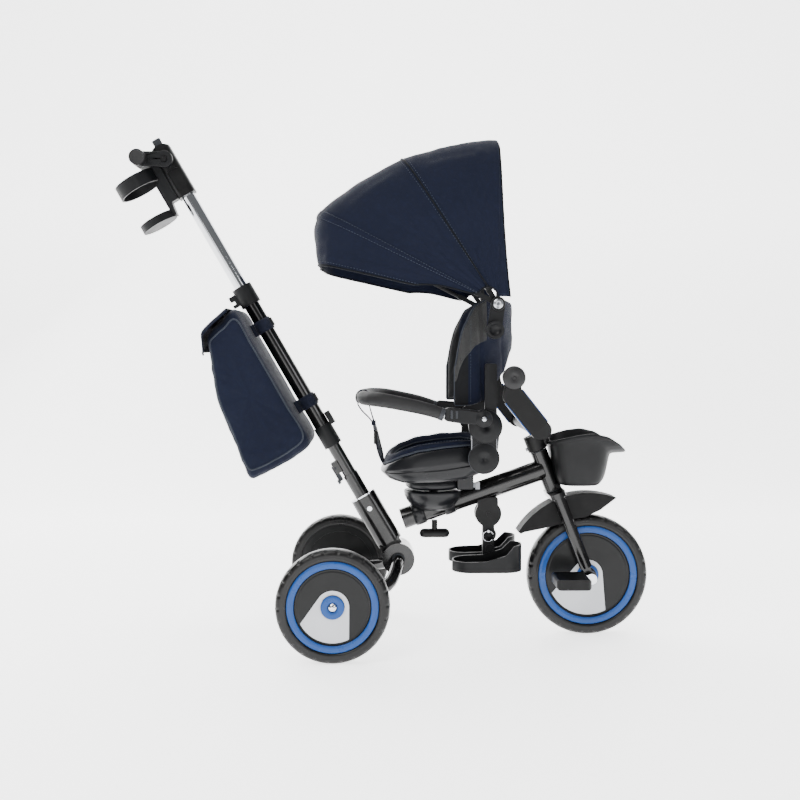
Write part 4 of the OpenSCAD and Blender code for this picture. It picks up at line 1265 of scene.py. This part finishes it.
def bag_section(count):
    """The bag's side outline in the bar's own axes, evenly spaced."""
    line = catmull([(n, 0, s) for n, s in BAG], 12, closed=True)
    line.append(line[0])
    run = [0.0]
    for a, b in zip(line, line[1:]):
        run.append(run[-1] + (b - a).length)
    want = np.linspace(0, run[-1], count, endpoint=False)
    return list(zip(np.interp(want, run, [p.x for p in line]), np.interp(want, run, [p.z for p in line])))


section = bag_section(150)
mid_n, mid_s = -86.0, 440.0
verts, faces, uvs = [], [], []
RINGS = 74
for i in range(RINGS + 1):
    theta = math.pi * i / RINGS
    c, sn = math.cos(theta), math.sin(theta)
    y = 118 * math.copysign(abs(c) ** 0.22, c)
    scale = max(sn, 0.0) ** 0.22
    for n, s in section:
        px, pz = mid_n + (n - mid_n) * scale, mid_s + (s - mid_s) * scale
        low = max(0.0, (430 - pz) / 140)
        fold = 4.0 * noise.noise(Vector((px * 0.016, y * 0.012, pz * 0.010)))
        fold += 2.6 * noise.noise(Vector((px * 0.035 + pz * 0.012, y * 0.02, pz * 0.045)))
        fold += 1.2 * noise.noise(Vector((px * 0.09, y * 0.05, pz * 0.07)))
        # diagonal creases run from the straps to the sagging corner
        crease = math.sin((px * 0.6 + pz * 0.35) * 0.11 + 1.4 * noise.noise(Vector((px * 0.01, 2,
            pz * 0.01))))
        face = max(0.0, 1 - scale) ** 0.3
        side_y = y + math.copysign(1, y) * (fold * 0.9 + 1.7 * crease * (1 - scale) - 3.0) * face
        away = (fold - 1.5) * (1 - face) * (1.0 if px < -45 else 0.15)
        d = Vector((px - mid_n, 0, (pz - mid_s) * 0.5)).normalized()
        q = BAR @ Vector((px + d.x * away - 2.0 * low * (1 - abs(y) / 118), side_y, pz + d.z * away))
        verts.append(tuple(q))
        uvs.append(((px + y * 0.9) * MM, (pz + y * 0.2) * MM))
m = len(section)
for i in range(RINGS):
    for k in range(m):
        j = (k + 1) % m
        faces.append([i * m + k, i * m + j, (i + 1) * m + j, (i + 1) * m + k])
bag_body = new_object("bag_visual", verts, faces, uvs, "navy")
fix_normals(bag_body)
subdivide(bag_body, 1)
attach(bag_body, "push_bar")
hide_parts("bag")


def bag_edge(ring):
    """The points of one ring of the bag, where its side panel is sewn on."""
    return [Vector(verts[ring * m + k]) for k in range(m)]


bag_piping = join("bag_piping", [tube("p", bag_edge(ring), 1.7, "binding", 8, closed=True) for ring in (14,
    RINGS - 14)]
                  + [tube("p", [tuple(BAR @ Vector((-30, sgn * 100, s))) for s in (318, 420, 520, 596)],
                      1.6, "navy_dark", 8)
                     for sgn in (-1, 1)])
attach(bag_piping, "push_bar")
strap_parts = []
for low_s, high_s in ((360, 386), (540, 566)):
    ring_path = [(18.4 * math.cos(a), 18.4 * math.sin(a)) for a in np.linspace(0, 2 * math.pi, 40,
        endpoint=False)]
    rows, uvr = [], []
    for t in np.linspace(0, 1, 5):
        rows.append([BAR @ Vector((x - 0.5, y, low_s + (high_s - low_s) * t)) for x,
            y in ring_path + ring_path[:1]])
        uvr.append([(i * 0.003, t * 0.026) for i in range(41)])
    strap_parts.append(grid_sheet("s", rows, uvr, "webbing", 1.6, 0))
    strap_parts.append(block("t", (-32, -13, low_s), (-17, 13, high_s), "webbing", at=BAR, round_by=1.0))
    strap_parts.append(block("b", (16.5, -8, low_s + 4), (21.5, 8, high_s - 4), "black_plastic", at=BAR,
        round_by=1.2))
bag_straps = join("bag_straps", strap_parts)
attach(bag_straps, "push_bar")

# The flap lies over the mouth and turns down at its front and sides.
FLAP = [(-38.4, 612.5), (-48, 611.2), (-60, 609), (-82, 604), (-99, 599), (-107, 593), (-113, 580), (-118,
    570), (-122, 562)]
rows, uvs = [], []
line = catmull([(n, 0, s) for n, s in FLAP], 4)
for i, p in enumerate(line):
    row, uvr = [], []
    for k in range(61):
        u = 2 * k / 60 - 1
        turn_down = max(0.0, abs(u) - 0.90) / 0.10
        dip = 1.8 * noise.noise(Vector((p.x * 0.04, u * 3, 2))) - 7.0 * turn_down ** 1.5
        row.append(BAR @ Vector((p.x, 121.5 * min(1.0, abs(u) * 1.02) * math.copysign(1, u), p.z + dip)))
        uvr.append((u * 0.12, i * 0.004))
    rows.append(row)
    uvs.append(uvr)
flap_ob = grid_sheet("bag_flap_visual", rows, uvs, "navy", 1.8, 1)
hinge_rod = tube("bag_flap_hinge", [tuple(BAR @ Vector((-38, y, 610.5))) for y in (-120, 0, 120)], 1.8,
    "navy_dark", 12)
flap_binding = tube("bag_flap_binding", [tuple(p) for p in rows[-1]], 1.8, "navy_dark", 8)
flap_rows = stitches("bag_flap_stitching", [tuple(p + Vector((0.4, 0, 1.4))) for p in rows[-4]])
for o in (flap_ob, hinge_rod, flap_binding, flap_rows):
    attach(o, "flap")
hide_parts("bag_flap")


# ---------------------------------------------------------------- basket
def basket_rim(x):
    return between([(336, 404), (360, 413), (395, 421), (427, 424.5), (455, 418), (480, 402), (500, 384)], x)


def basket_ring(cx, hx, hy, power, height, blend=1.0):
    out = []
    for k in range(160):
        a = 2 * math.pi * k / 160
        c, sn = math.cos(a), math.sin(a)
        x = cx + hx * math.copysign(abs(c) ** (2 / power), c)
        y = hy * math.copysign(abs(sn) ** (2 / power), sn)
        top = basket_rim(418 + (x - cx) / hx * 80)
        out.append((x, y, height + (top - height) * blend))
    return out


LAYERS = [(402, 20, 30, 3.0, 314, 0.0), (403, 36, 50, 3.6, 313.8, 0.0), (403, 41, 57, 3.6, 316, 0.0), (404,
    46, 62, 3.4, 321, 0.02),
          (405, 51, 66, 3.2, 318, 0.18), (405, 56, 71, 3.1, 318, 0.50), (404.5, 61, 75.5, 3.0, 318, 0.84),
              (404.5, 63, 77, 3.0, 318, 0.91),
          (416, 77, 80.5, 2.8, 318, 0.915), (418, 81, 82, 2.8, 318, 0.93), (418, 82, 82, 2.8, 318, 0.975),
              (417, 80, 81, 2.8, 318, 1.0),
          (412, 71, 77.5, 2.9, 318, 1.0), (405, 60.5, 74.5, 3.0, 318, 0.97), (404.5, 58, 73, 3.0, 318,
              0.86), (405, 53, 68, 3.1, 320, 0.5),
          (405, 47, 62, 3.2, 321, 0.16), (403, 40, 56, 3.3, 322, 0.0), (402, 20, 30, 3.0, 318, 0.0)]
verts, faces = [], []
for layer in LAYERS:
    verts += basket_ring(*layer)
for i in range(len(LAYERS) - 1):
    for k in range(160):
        j = (k + 1) % 160
        faces.append([i * 160 + k, i * 160 + j, (i + 1) * 160 + j, (i + 1) * 160 + k])
faces.append(list(range(160))[::-1])
faces.append([(len(LAYERS) - 1) * 160 + k for k in range(160)])
basket_ob = new_object("basket_visual", verts, faces, None, "dark_plastic")
fix_normals(basket_ob)
subdivide(basket_ob, 1)
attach(basket_ob, "steering")
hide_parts("basket")


# ---------------------------------------------------------------- grips, screws and other small parts
def both(make):
    return [make(s) for s in (1, -1)]


def grip(s):
    egg = [(0.1, 223.2), (2.4, 223.2), (2.8, 222.2), (4.6, 222.2), (5.2, 223.3), (12, 223.0), (18, 221.8),
        (21.6, 219.4), (22.2, 216.6),
           (20.6, 213.4), (17.2, 210.6), (15.4, 206)]
    egg += [(15.0 + 0.5 * math.sin(i * math.pi / 2), 204 - i * 1.4) for i in range(12)] + [(14.6, 186.4),
        (0.1, 186.4)]
    inner = [(0.1, 169.6), (15, 169.6), (15.4, 160), (15.2, 150), (13, 146.6), (0.1, 146.2)]
    return join("grip_%s" % ("left" if s > 0 else "right"),
                [lathe("g", line, (245, 0, 541), "rubber", side=s, turns=72, closed=True) for line in (egg,
                    inner)])


grips = both(grip)
for o in grips:
    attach(o, "steering")
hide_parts("grips")

LIMB_LOW, LIMB_HIGH = Vector((299, 0, 441)), Vector((248, 0, 505))
along = (LIMB_HIGH - LIMB_LOW).normalized()
across = Vector((along.z, 0, -along.x))
lines = []
for s in (1, -1):
    for t in (1, -1):
        for y, mat, r in ((180.5, "pale_plastic", 0.9), (175.5, "pale_plastic", 0.9)):
            a = LIMB_LOW + across * t * 20.7 + along * 6 + Vector((0, s * y, 0))
            b = LIMB_HIGH + across * t * 20.7 - along * 6 + Vector((0, s * y, 0))
            lines.append(tube("l", [a, a.lerp(b, 0.5), b], r, mat, 8))
limb_lines = join("handlebar_lines", lines)
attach(limb_lines, "steering")

# The knurled joint disc of the footrest, with its pin and spring clip.
disc_parts = []
for s in (1, -1):
    disc_parts.append(lathe("d", [(0.1, 11.0), (2.4, 11.0), (3.0, 12.2), (5, 12.4), (6, 11.4), (20, 11.6),
        (22, 12.8), (24.2, 12.6), (25, 11.4),
                                  (25, 9.2), (0.1, 9.2)], (217, 0, 253), "knob_plastic", side=s, turns=120,
                                      closed=True))
    for k in range(48):
        a = 2 * math.pi * k / 48
        p = Vector((217 + 25.0 * math.cos(a), 0, 253 + 25.0 * math.sin(a)))
        disc_parts.append(tube("k", [p + Vector((0, s * 9.3, 0)), p + Vector((0, s * 12.2, 0))], 0.7,
            "knob_plastic", 6))
joint_disc = join("footrest_joint_disc", disc_parts)
pin_parts = [tube("p", catmull([(217 + 11 * math.cos(a), -15,
    206 + 11 * math.sin(a)) for a in np.linspace(0.4, 5.6, 9)], 5),
                  1.3, "steel", 10),
             tube("q", [(217, -20, 217), (217, 20, 217)], 2.6, "steel", 16)]
pin = join("footrest_spring_clip", pin_parts)
for o in (joint_disc, pin):
    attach(o, "foot_trays")

# Bolts of the hood, with a bright washer.
bolts = []
for s in (1, -1):
    bolts.append(lathe("b", [(0.1, 168.4), (3.4, 168.4), (3.4, 170.2), (5.2, 170.2), (6.2, 169.4), (6.2,
        167.6), (9.4, 167.6), (9.8, 167.0), (0.1, 167.0)],
                       (220, 0, 682), "steel", side=s, turns=48, closed=True))
    bolts.append(lathe("b", [(10.2, 166.8), (13.2, 166.4), (13.8, 164.4), (10.2, 164.4)], (220, 0, 682),
        "black_plastic", side=s, turns=48, closed=True))
hood_bolts = join("hood_bolts", bolts)
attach(hood_bolts, "backrest")


# ---------------------------------------------------------------- floor and light
def add_floor():
    """A pale sweep: a floor that curves up into a wall well behind."""
    rows = [(-6, 0), (1.6, 0)] + [(1.6 + 1.2 * math.sin(a), 1.2 * (1 - math.cos(a)))
                                  for a in np.linspace(0.1, math.pi / 2, 14)] + [(2.8, 5.0)]
    verts = [(x * 1000, y * 1000, z * 1000) for y, z in rows for x in (-7, 7)]
    faces = [[2 * i, 2 * i + 1, 2 * i + 3, 2 * i + 2] for i in range(len(rows) - 1)]
    floor = new_object("floor", verts, faces)
    g = Graph("studio floor")
    soft = g.noise(3, 4, 0.6)
    floor.data.materials.append(g.set(
        Base_Color=g.mix(g.ramp(soft, 0.3, 0.7), srgb(252, 252, 252), srgb(254, 254, 254)),
        Roughness=0.55, Normal=g.bump(g.noise(900, 2), 0.05, 0.0002), Specular_IOR_Level=0.2,
            Emission_Color=(1, 1, 1, 1), Emission_Strength=2.2))
    return floor


def add_light(name, place, aim, size, power, colour=(1, 1, 1)):
    data = bpy.data.lights.new(name, "AREA")
    data.shape = "RECTANGLE"
    data.size, data.size_y = size
    data.energy = power
    data.color = colour
    ob = bpy.data.objects.new(name, data)
    scene.collection.objects.link(ob)
    ob.location = place
    ob.rotation_euler = (Vector(aim) - Vector(place)).to_track_quat("-Z", "Y").to_euler()
    return ob


floor = add_floor()
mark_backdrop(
    floor,
    add_light("key", (-1.6, -2.2, 3.2), (0, 0, 0.5), (2.0, 2.0), 110, (1.0, 0.99, 0.97)),
    add_light("fill", (2.6, -2.6, 1.8), (0, 0, 0.5), (1.6, 1.6), 42, (0.97, 0.98, 1.0)),
    add_light("top", (0.2, 0.3, 3.6), (0, 0, 0.4), (3.0, 3.0), 100),
    add_light("low", (-0.2, -3.6, 0.5), (0, 0, 0.4), (3.0, 0.8), 20),
    add_light("rim", (-1.6, 1.9, 1.8), (0, 0, 0.6), (1.2, 2.0), 40))
world = bpy.data.worlds.new("studio")
scene.world = world
world.use_nodes = True
world.node_tree.nodes["Background"].inputs[0].default_value = (0.93, 0.94, 0.96, 1)
world.node_tree.nodes["Background"].inputs[1].default_value = 0.22

low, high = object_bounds()
